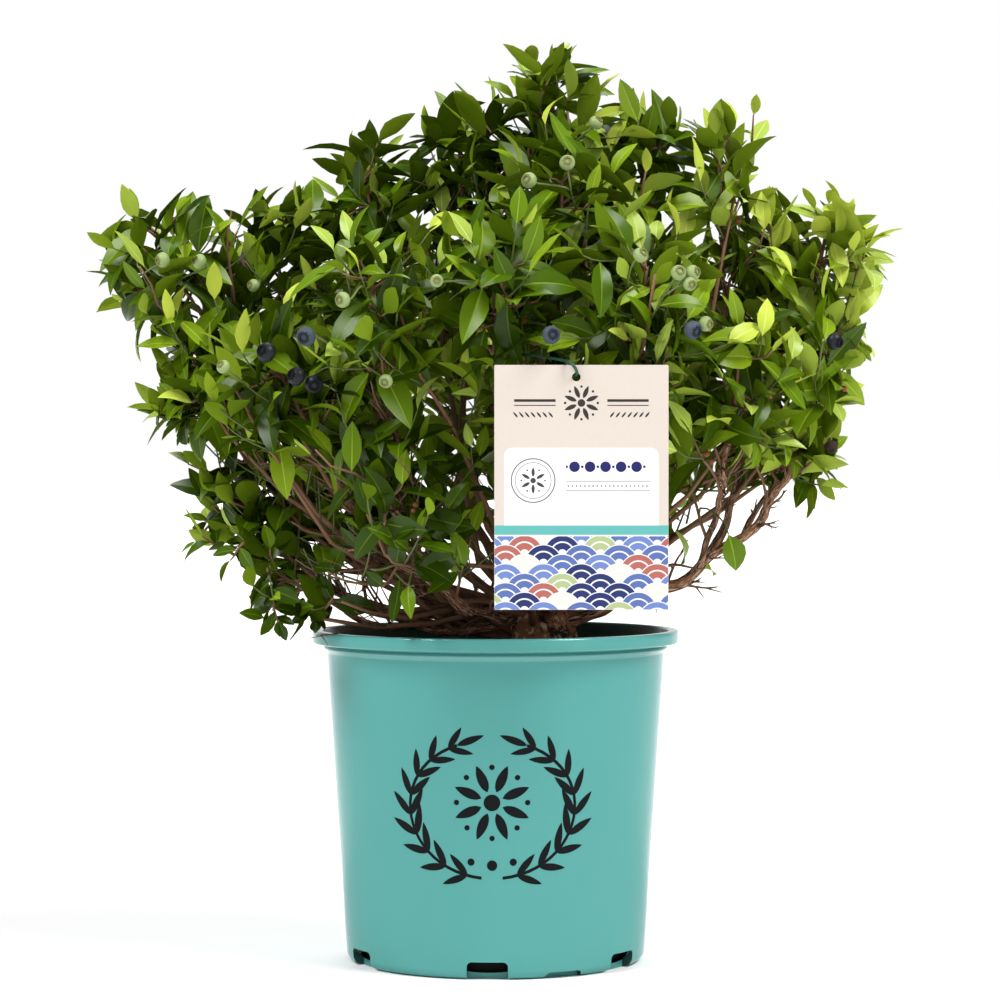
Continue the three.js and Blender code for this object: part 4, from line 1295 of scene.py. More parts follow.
def bark_radius(curve, foot, tip, seed):
    """The radius of a bough with its bark's relief: a collar at its foot, ridges, scales and knots."""
    length = curve.length()

    def relief(t, angle, broad, long, depth):
        spot = Vector((broad * math.cos(angle), broad * math.sin(angle), t * length / long + seed))
        return noise.noise(spot) * depth

    def radius(t, angle):
        size = lerp(foot, tip, t) + COLLAR * foot * math.exp(-t * length / COLLAR_LENGTH)
        knot = noise.noise(Vector((seed, 3.7, t * length / KNOT_SPACING))) - KNOT_FROM
        knots = max(0, knot) * KNOT_DEPTH
        return size * (1 + relief(t, angle, *RIDGES) + relief(t, angle, *SCALES) + knots)

    return radius


TRUNK_FLARE_DROP = 6  # how fast the flare ends above the foot
TRUNK_TOP = 0.14  # of its height, over which the trunk closes


def trunk_radius(t, angle):
    """The trunk's radius: lobes, a flare at the foot, a rounded top and rough bark."""
    lobes = 1 + 0.07 * math.cos(3 * angle + 1) + 0.05 * math.cos(5 * angle)
    size = (TRUNK_RADIUS - TRUNK_TAPER * t + TRUNK_FLARE * math.exp(-TRUNK_FLARE_DROP * t)) * lobes
    size *= math.sqrt(max(0.02, 1 - max(0, (t - (1 - TRUNK_TOP)) / TRUNK_TOP) ** 2))
    x, y = math.cos(angle), math.sin(angle)
    rough = noise.noise(Vector((4 * x, 4 * y, t * 3))) * 0.09
    return size * (1 + rough + 0.05 * noise.noise(Vector((11 * x, 11 * y, t * 9))))


def bark_paint(name, dark, warm, flake):
    """Bark that splits along the limb and flakes off in pale strips."""
    paint = Paint(name, warm, 0.85, Specular_IOR_Level=0.25)
    spot = paint.node("ShaderNodeAttribute", {"attribute_name": "bark_place"}, out=1)
    along = paint.node("ShaderNodeMapping", {}, spot, (0, 0, 0), (0, 0, 0), (1, 1, 0.22))
    strips = paint.noise(along, 0.34, 5, 0.7)
    broad = paint.noise(spot, 0.045, 3)
    fine = paint.noise(along, 0.8, 4, 0.65)
    cracks = paint.ramp(strips, [(0.43, NONE), (0.51, FULL)])
    scales = paint.ramp(fine, [(0.53, NONE), (0.60, FULL)])
    color = paint.mix(cracks, dark, warm)
    color = paint.mix(scales * 0.9, color, flake)
    color = paint.mix(paint.ramp(broad, [(0.4, NONE), (0.62, FULL)]) * 0.45, color, dark)
    return paint.feed(color, bump=strips + fine * 0.5, depth=0.0016, strength=1.0)


BOUGH_SIDES, BOUGH_STEP, BOUGH_STEPS = 16, 2.4, 30  # round it; millimetres a step; at least so many steps
TRUNK_SIDES, TRUNK_STEPS = 40, 24
TWIG_SIDES, TWIG_STEPS = 5, 5
STUB_TAPER = 0.55  # of its foot's radius, that a dead stub lacks at its tip
SEED_APART, BARK_APART = 5.1, 170  # between one limb's relief and pattern and the next one's

wood = [tube(TRUNK, trunk_radius, TRUNK_SIDES, TRUNK_STEPS)]
for number, grown in enumerate(MASSES.values()):
    curve = boughs[grown.name]
    slim = BARK_SHARE if grown.parent == "trunk" else SIDE_LIMB_SHARE * BARK_SHARE
    relief = bark_radius(curve, grown.girth * slim, tip_radius(grown), number * SEED_APART)
    steps = max(BOUGH_STEPS, round(curve.length() / BOUGH_STEP))
    wood.append(tube(curve, relief, BOUGH_SIDES, steps, number * BARK_APART))
OLD_BARK = bark_paint("old_flaking_bark", (0.026, 0.012, 0.007), (0.285, 0.122, 0.058), (0.66, 0.47, 0.33))
bark = join_tubes("bark_of_trunk_and_boughs", wood, OLD_BARK)
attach(bark, "root")
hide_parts("trunk", *[f"bough_{name}" for name in MASSES])

for name, green, color in (
    ("twigs_woody", False, (0.180, 0.088, 0.042)),
    ("twigs_green", True, (0.085, 0.105, 0.026)),
):
    tubes = [
        tube(curve, lambda t, angle, a=foot, b=tip: lerp(a, b, t), TWIG_SIDES, TWIG_STEPS)
        for curve, foot, tip, its in plant.twigs
        if its == green
    ]
    piece = join_tubes(name, tubes, plain(name, color, 0.7))
    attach(piece, "root")
tubes = [
    tube(curve, lambda t, angle, a=foot: a * (1 - STUB_TAPER * t), TWIG_SIDES, TWIG_STEPS)
    for curve, foot in plant.dead
]
piece = join_tubes("dead_stubs", tubes, plain("dead_wood", (0.135, 0.070, 0.038), 0.85))
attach(piece, "root")

# ---------- Pot ----------

RIM_FOOT = POT_HEIGHT - RIM_BAND
BEAD_ROUND, RIM_LOW_ROUND, RIM_TOP_ROUND, MOUTH_ROUND = 1.2, 0.8, 1.4, 1.0
BEAD_ABOVE = 3  # the wall's top
INNER_TOP = RIM_FOOT - 4  # where the inner wall's taper starts
WALL_ROWS = 12


def rounded(center, radius, start, end, steps=4):
    """Profile points round an arc, in degrees from outward towards up."""
    angles = [math.radians(lerp(start, end, i / steps)) for i in range(steps + 1)]
    return [(center[0] + radius * math.cos(a), center[1] + radius * math.sin(a)) for a in angles]


def pot_profile():
    """Radius and height of each ring, from the underside's edge over the rim to the inner floor."""
    profile = rounded((WALL_FOOT_RADIUS - FOOT_ROUND, FOOT_ROUND), FOOT_ROUND, -90, -8, 6)
    for i in range(1, WALL_ROWS + 1):
        t = i / WALL_ROWS
        profile.append((lerp(WALL_FOOT_RADIUS, WALL_TOP_RADIUS, t), lerp(FOOT_ROUND, WALL_TOP, t)))
    # the bead, the neck and the step out under the rim
    profile += rounded((BEAD_RADIUS - BEAD_ROUND, WALL_TOP + BEAD_ABOVE), BEAD_ROUND, -60, 60, 4)
    profile += [(NECK_RADIUS, RIM_FOOT - 1), (NECK_RADIUS + 0.6, RIM_FOOT - 0.2), (RIM_RADIUS - 1, RIM_FOOT)]
    # the rim, rounded below, above and into the mouth
    profile += rounded((RIM_RADIUS - RIM_LOW_ROUND, RIM_FOOT + RIM_LOW_ROUND), RIM_LOW_ROUND, -80, 0, 2)
    profile += rounded((RIM_RADIUS - RIM_TOP_ROUND, POT_HEIGHT - RIM_TOP_ROUND), RIM_TOP_ROUND, 0, 90, 4)
    profile += rounded((MOUTH_RADIUS + MOUTH_ROUND, POT_HEIGHT - MOUTH_ROUND), MOUTH_ROUND, 90, 180, 3)
    profile += [(MOUTH_RADIUS - 0.6, RIM_FOOT + 2), (WALL_TOP_RADIUS - WALL, INNER_TOP)]
    profile += [(WALL_FOOT_RADIUS - WALL, FLOOR + FOOT_ROUND), (WALL_FOOT_RADIUS - WALL - FOOT_ROUND, FLOOR)]
    return profile


def model_pot():
    """A ring drawn out row by row along the pot's profile and closed at both ends."""
    profile = pot_profile()
    start_fresh()
    radius, height = profile[0]
    bpy.ops.mesh.primitive_circle_add(
        vertices=POT_SIDES, radius=radius * MM, fill_type="NGON", location=(0, 0, height * MM)
    )
    pot = start_shaping()
    bpy.ops.mesh.select_mode(type="EDGE")
    bpy.ops.mesh.select_all(action="SELECT")
    bpy.ops.mesh.delete(type="ONLY_FACE")
    bpy.ops.mesh.select_all(action="SELECT")
    bpy.ops.mesh.edge_face_add()
    bpy.ops.mesh.select_mode(type="EDGE")
    bpy.ops.mesh.select_all(action="SELECT")
    for (r, z), (next_r, next_z) in zip(profile, profile[1:]):
        bpy.ops.mesh.extrude_edges_move(TRANSFORM_OT_translate={"value": (0, 0, (next_z - z) * MM)})
        factor = next_r / r
        bpy.ops.transform.resize(value=(factor, factor, 1), center_override=(0, 0, next_z * MM))
    bpy.ops.mesh.edge_face_add()
    bpy.ops.mesh.select_all(action="SELECT")
    bpy.ops.mesh.normals_make_consistent(inside=False)
    bpy.ops.object.mode_set(mode="OBJECT")
    return pot


def notch_cutter(width, height, shoulder, turn):
    """A block with round shoulders that stands across the pot's bottom edge."""
    start_fresh()
    bpy.ops.mesh.primitive_cube_add(size=1)
    bpy.context.object.scale = (width * MM, 2 * NOTCH_DEPTH * MM, 2 * height * MM)
    cutter = start_shaping()
    top_edge = lambda e: all(v.co.z > 0 for v in e.verts) and abs(e.verts[0].co.y - e.verts[1].co.y) > 1e-4
    pick(cutter, edges=top_edge)
    bpy.ops.mesh.bevel(offset=shoulder * MM, segments=6)
    bpy.ops.object.mode_set(mode="OBJECT")
    cutter.location = (0, -WALL_FOOT_RADIUS * MM, 0)
    bpy.ops.object.transform_apply(location=True)
    cutter.rotation_euler = (0, 0, math.radians(turn))
    bpy.ops.object.transform_apply(rotation=True)
    return cutter


def cut_away(obj, cutter):
    finish_modifier(obj, "BOOLEAN", object=cutter, operation="DIFFERENCE", solver="EXACT")
    bpy.data.objects.remove(cutter)


def pot_paint(name, gloss):
    """The pot's outer colour, faintly cloudy, with a moulding's slow waves and fine grain."""
    paint = Paint(name, (0.075, 0.30, 0.275), 0.15, Specular_IOR_Level=gloss)
    place = paint.place()
    cloud = paint.noise(place, 14, 3)
    color = paint.mix(cloud * 0.5, (0.074, 0.276, 0.257), (0.089, 0.300, 0.279))
    grain = paint.noise(place, 900, 2)
    wave = paint.noise(paint.place(scale=(1, 1, 0.3)), 30, 1)
    roughness = cloud * 0.05 + 0.1
    return paint.feed(color, roughness, grain * 0.02 + wave, depth=0.0006, strength=0.25)


def inner_paint():
    """The dark layer inside, streaked down the wall by water and soil."""
    paint = Paint("dark_inner_layer", (0.006, 0.040, 0.037), 0.32)
    streaks = paint.noise(paint.place(scale=(1, 1, 0.12)), 60, 4, 0.65)
    marks = paint.ramp(streaks, [(0.46, NONE), (0.7, FULL)])
    color = paint.mix(marks * 0.5, (0.006, 0.040, 0.037), (0.012, 0.056, 0.050))
    return paint.feed(color, marks * 0.3 + 0.28, streaks, depth=0.0003, strength=0.3)


def pot_part(face):
    """The material that a face of the pot takes: outer wall, dark inside or polished edge."""
    centre, facing = face.center / MM, face.normal
    inward = facing.x * centre.x + facing.y * centre.y < 0
    inside = inward and centre.z < POT_HEIGHT - LIP and math.hypot(*centre.xy) < MOUTH_RADIUS
    on_floor = facing.z > SQUARE_ON and centre.z < 2 * FLOOR
    edge = centre.z > WALL_TOP and 0.15 < abs(facing.z) < 0.95
    return 1 if inside or on_floor else 2 if edge else 0


pot = model_pot()
for i in range(NOTCH_COUNT):
    cut_away(pot, notch_cutter(NOTCH_WIDTH, NOTCH_HEIGHT, NOTCH_ROUND, NOTCH_TURN + i * 360 / NOTCH_COUNT))
for i in range(ARCH_COUNT):
    cut_away(pot, notch_cutter(NOTCH_WIDTH, ARCH_HEIGHT, ARCH_ROUND, ARCH_TURN + i * 360 / ARCH_COUNT))
pot.data.materials.append(pot_paint("teal_moulded_plastic", 0.09))
pot.data.materials.append(inner_paint())
pot.data.materials.append(pot_paint("teal_polished_edge", 0.6))
for face in pot.data.polygons:
    face.material_index = pot_part(face)
settle(pot, "nursery_pot", angle=32)
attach(pot, "root")
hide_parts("pot")

# ---------- Berries ----------

BERRY_SIDES, BERRY_RINGS = 20, 11
# Shares of a berry's radius: its flattening, then heights and reaches of its crowned end
BERRY_FLATNESS = 0.86
CROWN_TOP, CROWN_INSET = 0.7, 0.05
HOLLOW_DEPTH, HOLLOW_FLATNESS, HOLLOW_LEVEL = 0.14, 0.3, 0.62
COLLAR_INNER, COLLAR_OUTER, COLLAR_FROM, COLLAR_HEIGHT = 0.2, 0.4, 0.6, 0.2
COLLAR_SPREAD, COLLAR_LEVEL = 1.25, 0.8
LOBES, LOBE_GAP, LOBE_FROM, LOBE_DROP, LOBE_SIZE = 5, 0.1, 0.88, 0.2, 0.85
CROWN_COLOR_FROM, CROWN_COLOR_REACH = 0.66, 0.62


def berry_master():
    """One berry a unit in radius, its stalk end below and its crowned end above."""
    start_fresh()
    bpy.ops.mesh.primitive_uv_sphere_add(segments=BERRY_SIDES, ring_count=BERRY_RINGS, radius=1)
    berry = start_shaping()
    bpy.ops.transform.resize(value=(1, 1, BERRY_FLATNESS))
    height = lambda f: f.calc_center_median().z
    out = lambda f: math.hypot(*f.calc_center_median().xy)
    collar_middle = (0, 0, COLLAR_LEVEL)
    # the hollow at the crowned end, and the raised collar round it
    pick(berry, faces=lambda f: height(f) > CROWN_TOP)
    bpy.ops.mesh.inset(thickness=CROWN_INSET, depth=0)
    bpy.ops.mesh.inset(thickness=CROWN_INSET, depth=0)
    bpy.ops.transform.translate(value=(0, 0, -HOLLOW_DEPTH))
    bpy.ops.transform.resize(value=(1, 1, HOLLOW_FLATNESS), center_override=(0, 0, HOLLOW_LEVEL))
    pick(berry, faces=lambda f: COLLAR_INNER < out(f) < COLLAR_OUTER and height(f) > COLLAR_FROM)
    bpy.ops.mesh.extrude_region_move(TRANSFORM_OT_translate={"value": (0, 0, COLLAR_HEIGHT)})
    bpy.ops.transform.resize(value=(COLLAR_SPREAD, COLLAR_SPREAD, 1), center_override=collar_middle)
    # five lobes: the collar lowered between them
    between = lambda v: v.co.z > LOBE_FROM and math.cos(LOBES * math.atan2(v.co.y, v.co.x)) < LOBE_GAP
    pick(berry, vertices=between)
    bpy.ops.transform.translate(value=(0, 0, -LOBE_DROP))
    bpy.ops.transform.resize(value=(LOBE_SIZE, LOBE_SIZE, 1), center_override=collar_middle)
    end_in_triangles()
    return berry


def set_out(name, master, poses, sorts, paints):
    """Copies of a master, each in its own pose, joined as one piece."""
    points, faces = mesh_arrays(master)
    placed = [points @ axes + np.array(centre) for centre, axes in poses]
    offsets = np.arange(len(poses)) * len(points)
    copies = (faces[None] + offsets[:, None, None]).reshape(-1, 3)
    obj = mesh_object(name, np.concatenate(placed) * MM, copies)
    for paint in paints:
        obj.data.materials.append(paint)
    obj.data.polygons.foreach_set("material_index", np.tile(sorts, len(poses)).astype(np.int32))
    select_only(obj)
    bpy.ops.object.shade_smooth_by_angle(angle=math.radians(BERRY_SMOOTH))
    return obj


def posed(centre, upward, radius, roll):
    """Axes that turn a master's +Z towards a direction, at a size."""
    side = upward.cross(Vector((roll(-1, 1), roll(-1, 1), roll(-1, 1)))).normalized()
    return centre, np.array([side, upward.cross(side), upward]) * radius


def on_crown(face):
    """Whether a face of the berry belongs to its collar or the hollow inside it."""
    return face.center.z > CROWN_COLOR_FROM and math.hypot(*face.center.xy) < CROWN_COLOR_REACH


# Skin, crown and roughness of each kind
BERRY_KINDS = {
    "ripe": ((0.006, 0.0075, 0.0115), (0.005, 0.005, 0.007), 0.45),
    "bloomed": ((0.046, 0.060, 0.082), (0.017, 0.020, 0.027), 0.6),
    "green": ((0.240, 0.315, 0.118), (0.150, 0.155, 0.050), 0.4),
    "spent": ((0.200, 0.075, 0.030), (0.330, 0.085, 0.050), 0.8),
    "dried": ((0.030, 0.017, 0.013), (0.024, 0.013, 0.009), 0.8),
}
GREEN_SIZES, RIPE_SIZES = (0.68, 0.88), (0.92, 1.1)
STALK_IN = 0.84  # of a berry's radius, from its middle to where its stalk ends
STALK_TIP, STALK_FOOT = 0.7, 0.55
STALK_FROM, STALK_TO, DRIED_STALK_TO = 10, 70, 90  # distances from a berry at which its stalk may start
DRIED_AT, DRIED_WAY, DRIED_RADIUS, DRIED_STALK = Vector((208, -30, 322)), Vector((0.2, -0.3, -1)), 4.2, 3.4
SPENT_OUT, SPENT_SIZES = (3, 8), (1.5, 2.6)

berry = berry_master()
crowned = np.array([int(on_crown(face)) for face in berry.data.polygons])
roll = Dice(SEED + 7)
hung = {kind: [] for kind in BERRY_KINDS}
stalks = []
for place, kind in berries:
    foot, onward, found = nearest_twig(place, STALK_FROM, STALK_TO)
    out = (place - CROWN_HEART).normalized()
    upward = (out * roll(0.6, 1.2) + Vector((roll(-0.7, 0.7), -0.3, roll(-0.7, 0.5)))).normalized()
    radius = BERRY_RADIUS * roll(*(GREEN_SIZES if kind == "green" else RIPE_SIZES))
    hung[kind].append(posed(place, upward, radius, roll))
    if found:
        below = place - upward * (STALK_IN * radius)
        stalks.append(bent(foot, (onward + upward).normalized(), upward, below))
foot, onward, _ = nearest_twig(DRIED_AT, STALK_FROM, DRIED_STALK_TO)
hung["dried"].append(posed(DRIED_AT, DRIED_WAY.normalized(), DRIED_RADIUS, roll))
stalks.append(bent(foot, onward, -UP, DRIED_AT + UP * DRIED_STALK))
for _ in range(SPENT_FLOWERS):
    leaf = plant.leaves[int(roll(0, len(plant.leaves)))]
    place = leaf[0] + (leaf[0] - CROWN_HEART).normalized() * roll(*SPENT_OUT)
    upward = Vector((roll(-1, 1), roll(-1, 1), roll(-1, 0.6))).normalized()
    hung["spent"].append(posed(place, upward, roll(*SPENT_SIZES), roll))
    stalks.append(straight(leaf[0], place))
for kind, (skin, crown, roughness) in BERRY_KINDS.items():
    paints = [
        plain(f"berry_{kind}_skin", skin, roughness, Specular_IOR_Level=0.25),
        plain(f"berry_{kind}_crown", crown, 0.7, Specular_IOR_Level=0.1),
    ]
    piece = set_out(f"berries_{kind}", berry, hung[kind], crowned, paints)
    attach(piece, "root")
bpy.data.objects.remove(berry)
tubes = [tube(curve, lambda t, angle: lerp(STALK_FOOT, STALK_TIP, t), 6, 5) for curve in stalks]
piece = join_tubes("berry_stalks", tubes, plain("green_stalks", (0.10, 0.135, 0.034), 0.6))
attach(piece, "root")

# ---------- Soil ----------

SOIL_SIDES, SOIL_RINGS = 96, 16
LUMPS, CRUMBS, SHIFTS = 28, 4.3, 9  # lumps in the noise for each metre; crumbs and shifts for each lump
LUMP_HEIGHT, CRUMB_HEIGHT, SINK, SHIFT_WIDTH = 3.4, 2.2, 1.2, 2.4


def soil_radius(z):
    """The pot's inside at a height, a hair clear of its wall."""
    low, high = FLOOR + FOOT_ROUND, INNER_TOP
    return lerp(WALL_FOOT_RADIUS - WALL, WALL_TOP_RADIUS - WALL, (z - low) / (high - low)) - GAP - 0.1


def model_soil():
    """The filled inside of the pot, closed below, its surface uneven."""
    start_fresh()
    top, foot = soil_radius(SOIL_LEVEL), FLOOR + GAP
    bpy.ops.mesh.primitive_cylinder_add(
        vertices=SOIL_SIDES,
        radius=top * MM,
        depth=(SOIL_LEVEL - foot) * MM,
        location=(0, 0, (SOIL_LEVEL + foot) / 2 * MM),
    )
    soil = start_shaping()
    # the underside drawn in to the foot's round
    pick(soil, faces=lambda f: f.normal.z < -SQUARE_ON)
    factor = soil_radius(SOIL_SHOULDER) / top
    bpy.ops.transform.resize(value=(factor, factor, 1))
    bpy.ops.transform.translate(value=(0, 0, (SOIL_SHOULDER - FLOOR) * MM))
    bpy.ops.mesh.extrude_region_move(TRANSFORM_OT_translate={"value": (0, 0, (FLOOR - SOIL_SHOULDER) * MM)})
    factor = SOIL_FOOT_RADIUS / soil_radius(SOIL_SHOULDER)
    bpy.ops.transform.resize(value=(factor, factor, 1))
    pick(soil, faces=lambda f: f.normal.z > SQUARE_ON)
    for _ in range(SOIL_RINGS):
        bpy.ops.mesh.inset(thickness=top / (SOIL_RINGS + 1) * MM)
    # lumps and crumbs: each ring's points raised, sunk and shifted a little
    mesh = bmesh.from_edit_mesh(soil.data)
    for v in mesh.verts:
        reach = math.hypot(v.co.x, v.co.y) / MM
        if v.co.z > (SOIL_LEVEL - 1) * MM and reach < top - 1:
            spot = v.co * LUMPS
            lift = noise.noise(spot) * LUMP_HEIGHT + noise.noise(spot * CRUMBS) * CRUMB_HEIGHT - SINK
            v.co.z += lift * MM
            v.co.x += noise.noise(spot * SHIFTS) * SHIFT_WIDTH * MM
            v.co.y += noise.noise(spot * SHIFTS + Vector((7, 3, 1))) * SHIFT_WIDTH * MM
    bmesh.update_edit_mesh(soil.data)
    bpy.ops.object.mode_set(mode="OBJECT")
    return soil


def soil_paint():
    """Dark, with paler crumbs."""
    earth = Paint("dark_potting_soil", (0.018, 0.012, 0.008), 0.95, Specular_IOR_Level=0.15)
    crumb = earth.noise(earth.place(), 260, 6, 0.7)
    paler = earth.ramp(crumb, [(0.35, NONE), (0.7, FULL)])
    color = earth.mix(paler, (0.008, 0.005, 0.004), (0.05, 0.034, 0.022))
    return earth.feed(color, bump=crumb, depth=0.002, strength=1.0)


def chip_master():
    """A splinter of bark: a block, broken across its ends."""
    start_fresh()
    bpy.ops.mesh.primitive_cube_add(size=2)
    chip = start_shaping()
    bpy.ops.transform.resize(value=(1, 0.45, 0.22))
    pick(chip, faces=lambda f: f.normal.x > SQUARE_ON)
    bpy.ops.transform.resize(value=(1, 0.5, 0.6), center_override=(1, 0.2, 0))
    pick(chip, edges=lambda e: abs(e.verts[0].co.x - e.verts[1].co.x) > 1)
    bpy.ops.mesh.subdivide(number_cuts=1)
    pick(chip, vertices=lambda v: abs(v.co.x) < 0.3 and v.co.y > 0)
    bpy.ops.transform.translate(value=(0.1, 0.12, 0.08))
    end_in_triangles()
    return chip


soil = model_soil()
soil.data.materials.append(soil_paint())
soil.data.materials.append(plain("damp_soil_below", (0.005, 0.005, 0.004), 0.9, Specular_IOR_Level=0.1))
for face in soil.data.polygons:
    face.material_index = 1 if face.normal.z < 0.1 else 0
settle(soil, "potting_soil", angle=40)
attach(soil, "root")
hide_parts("soil")

CHIPS, CHIP_SIZES, CHIP_LEVELS, PALE_SHARE = 900, (1.6, 5.2), (-0.8, 2.0), 0.3
FROM_WALL, FROM_TRUNK = 7, 30

chip = chip_master()
roll = Dice(SEED + 11)
scattered = {"dark": [], "pale": []}
for _ in range(CHIPS):
    reach = (soil_radius(SOIL_LEVEL) - FROM_WALL) * math.sqrt(roll())
    turn = roll(0, TURN)
    place = Vector((reach * math.cos(turn), reach * math.sin(turn), SOIL_LEVEL + roll(*CHIP_LEVELS)))
    if (place.xy - TRUNK_FOOT.xy).length < FROM_TRUNK:
        continue
    upward = Vector((roll(-0.5, 0.5), roll(-0.5, 0.5), 1)).normalized()
    shade = "pale" if roll() < PALE_SHARE else "dark"
    scattered[shade].append(posed(place, upward, roll(*CHIP_SIZES), roll))
for shade, color in (("dark", (0.045, 0.026, 0.016)), ("pale", (0.14, 0.092, 0.058))):
    paint = plain(f"bark_chips_{shade}", color, 0.9)
    piece = set_out(f"soil_chips_{shade}", chip, scattered[shade], np.zeros(len(chip.data.polygons)), [paint])
    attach(piece, "root")
bpy.data.objects.remove(chip)

# ---------- Ornaments printed on the pot and the card ----------

FILM = 0.14  # how far a print stands proud, in millimetres
LEAF_CUTS, DISC_SIDES, DISC_RINGS, STRIP_CUTS = 8, 32, 4, 24


def film_leaf():
    """A flat leaf shape, a unit long from the origin along +X, with a film's thickness."""
    start_fresh()
    bpy.ops.mesh.primitive_grid_add(x_subdivisions=LEAF_CUTS, y_subdivisions=1, size=1, location=(0.5, 0, 0))
    leaf = start_shaping()
    for row in range(LEAF_CUTS + 1):
        at = row / LEAF_CUTS
        pick(leaf, vertices=in_row(at))
        half = 0.02 + 0.4 * math.sin(math.pi * at**0.85) ** 0.8
        bpy.ops.transform.resize(value=(1, half, 1), center_override=(at, 0, 0))
    return thickened(leaf)


def film_disc():
    """A flat disc a unit in radius, with a film's thickness."""
    start_fresh()
    bpy.ops.mesh.primitive_circle_add(vertices=DISC_SIDES, radius=1, fill_type="NGON")
    disc = start_shaping()
    for _ in range(DISC_RINGS):
        bpy.ops.mesh.inset(thickness=1 / (DISC_RINGS + 1))
    return thickened(disc)


def film_strip():
    """A flat strip a unit long and wide, cut across so that it can follow a curve."""
    start_fresh()
    bpy.ops.mesh.primitive_grid_add(x_subdivisions=STRIP_CUTS, y_subdivisions=1, size=1, location=(0.5, 0, 0))
    return thickened(start_shaping())


def thickened(flat):
    """The points and triangles of a flat shape that is drawn out by a film's thickness."""
    bpy.ops.mesh.select_all(action="SELECT")
    bpy.ops.transform.translate(value=(0, 0, -0.5))
    bpy.ops.mesh.extrude_region_move(TRANSFORM_OT_translate={"value": (0, 0, 1)})
    bpy.ops.mesh.select_all(action="SELECT")
    bpy.ops.mesh.normals_make_consistent(inside=False)
    end_in_triangles()
    arrays = mesh_arrays(flat)
    bpy.data.objects.remove(flat)
    return arrays


STEP_ALONG = 0.01  # share of a path to either side, from which its direction is taken


class Print:
    """Flat shapes laid out in millimetres across and up, then wrapped on a surface."""

    def __init__(self):
        self.points, self.faces, self.total = [], [], 0

    def add(self, shape, spots):
        self.points.append(spots)
        self.faces.append(shape[1] + self.total)
        self.total += len(spots)

    def lay(self, shape, u, v, length, width, turn=0.0):
        """A shape with its origin at a place, at a size and turned."""
        points = shape[0]
        c, s = math.cos(turn), math.sin(turn)
        x, y = points[:, 0] * length, points[:, 1] * width
        self.add(shape, np.stack([u + c * x - s * y, v + s * x + c * y, points[:, 2]], axis=1))

    def trace(self, shape, path, width):
        """A strip along a path given as a function of its share."""
        spots = []
        for x, y, z in shape[0]:
            u, v = path(x)
            ahead, behind = path(min(1, x + STEP_ALONG)), path(max(0, x - STEP_ALONG))
            du, dv = ahead[0] - behind[0], ahead[1] - behind[1]
            size = math.hypot(du, dv)
            spots.append((u - dv / size * y * width, v + du / size * y * width, z))
        self.add(shape, np.array(spots))

    def wrap(self, name, surface, paint):
        """The piece: all its shapes, laid on a surface."""
        spots = np.concatenate(self.points)
        placed = np.array([surface(u, v, w * FILM) for u, v, w in spots])
        obj = mesh_object(name, placed * MM, np.concatenate(self.faces), smooth=False)
        obj.data.materials.append(paint)
        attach(obj, "root")
        return obj


PRINT_RADIUS = 100  # of the pot, at the garland's height


def on_pot(u, v, w):
    """A place on the pot's wall: round it, up it and out from it."""
    radius = lerp(WALL_FOOT_RADIUS, WALL_TOP_RADIUS, (v - FOOT_ROUND) / (WALL_TOP - FOOT_ROUND)) + w
    return radius * math.sin(u / PRINT_RADIUS), -radius * math.cos(u / PRINT_RADIUS), v


def on_card(u, v, w):
    """A place on the card's front: across it, up it and out from it."""
    return CARD_CENTRE.x + u, CARD_CENTRE.y - CARD_THICKNESS / 2 - w, CARD_CENTRE.z + v


LEAF, DISC, STRIP = film_leaf(), film_disc(), film_strip()


# Shares of a rosette's radius
ROSETTE_EYE, PETAL_FROM, PETAL_LENGTH, PETAL_WIDTH, PIP_AT, PIP_SIZE = 0.2, 0.28, 0.68, 0.56, 0.86, 0.065


def rosette(ink, u, v, size, petals=8):
    """Petals round an eye, with a bead between each two."""
    ink.lay(DISC, u, v, ROSETTE_EYE * size, ROSETTE_EYE * size)
    for k in range(petals):
        turn = TURN * (k + 0.5) / petals
        x, y = math.cos(turn), math.sin(turn)
        foot_u, foot_v = u + PETAL_FROM * size * x, v + PETAL_FROM * size * y
        ink.lay(LEAF, foot_u, foot_v, PETAL_LENGTH * size, PETAL_WIDTH * size, turn)
        turn += TURN / 2 / petals
        x, y = math.cos(turn), math.sin(turn)
        ink.lay(DISC, u + PIP_AT * size * x, v + PIP_AT * size * y, PIP_SIZE * size, PIP_SIZE * size)


WREATH_FROM, WREATH_TO = 0.04, 0.87  # of half a turn, from the foot
WREATH_SPREAD = 0.6  # radians between a leaf and the stem


def wreath(ink, u, v, wide, high, pairs, leaf):
    """Two boughs of leaves that rise from the foot and bend towards each other."""
    for side in (-1, 1):
        path = lambda t: (
            u + side * wide * math.sin(lerp(WREATH_FROM, WREATH_TO, t) * math.pi),
            v - high * math.cos(lerp(WREATH_FROM, WREATH_TO, t) * math.pi),
        )
        ink.trace(STRIP, path, 0.1 * leaf)
        for k in range(pairs):
            t = (k + 0.6) / pairs
            x, y = path(t)
            ahead = path(min(1, t + 0.02))
            along = math.atan2(ahead[1] - y, ahead[0] - x)
            size = leaf * (1 - 0.35 * abs(t - 0.4))
            for turn in (WREATH_SPREAD, -WREATH_SPREAD):
                ink.lay(LEAF, x, y, size, 0.62 * size, along + turn)
        x, y = path(1)
        before = path(0.97)
        ink.lay(LEAF, x, y, 0.9 * leaf, 0.55 * leaf, math.atan2(y - before[1], x - before[0]))


# Across and up, in millimetres
GARLAND_MIDDLE, GARLAND_UP = -2, 104
GARLAND = {"wide": 52, "high": 42, "pairs": 9, "leaf": 19}
ROSETTE_UP, ROSETTE_RADIUS = 108, 25
BEADS_UP, BEADS_APART, BEAD_SIZE = 70, 13, 3.2

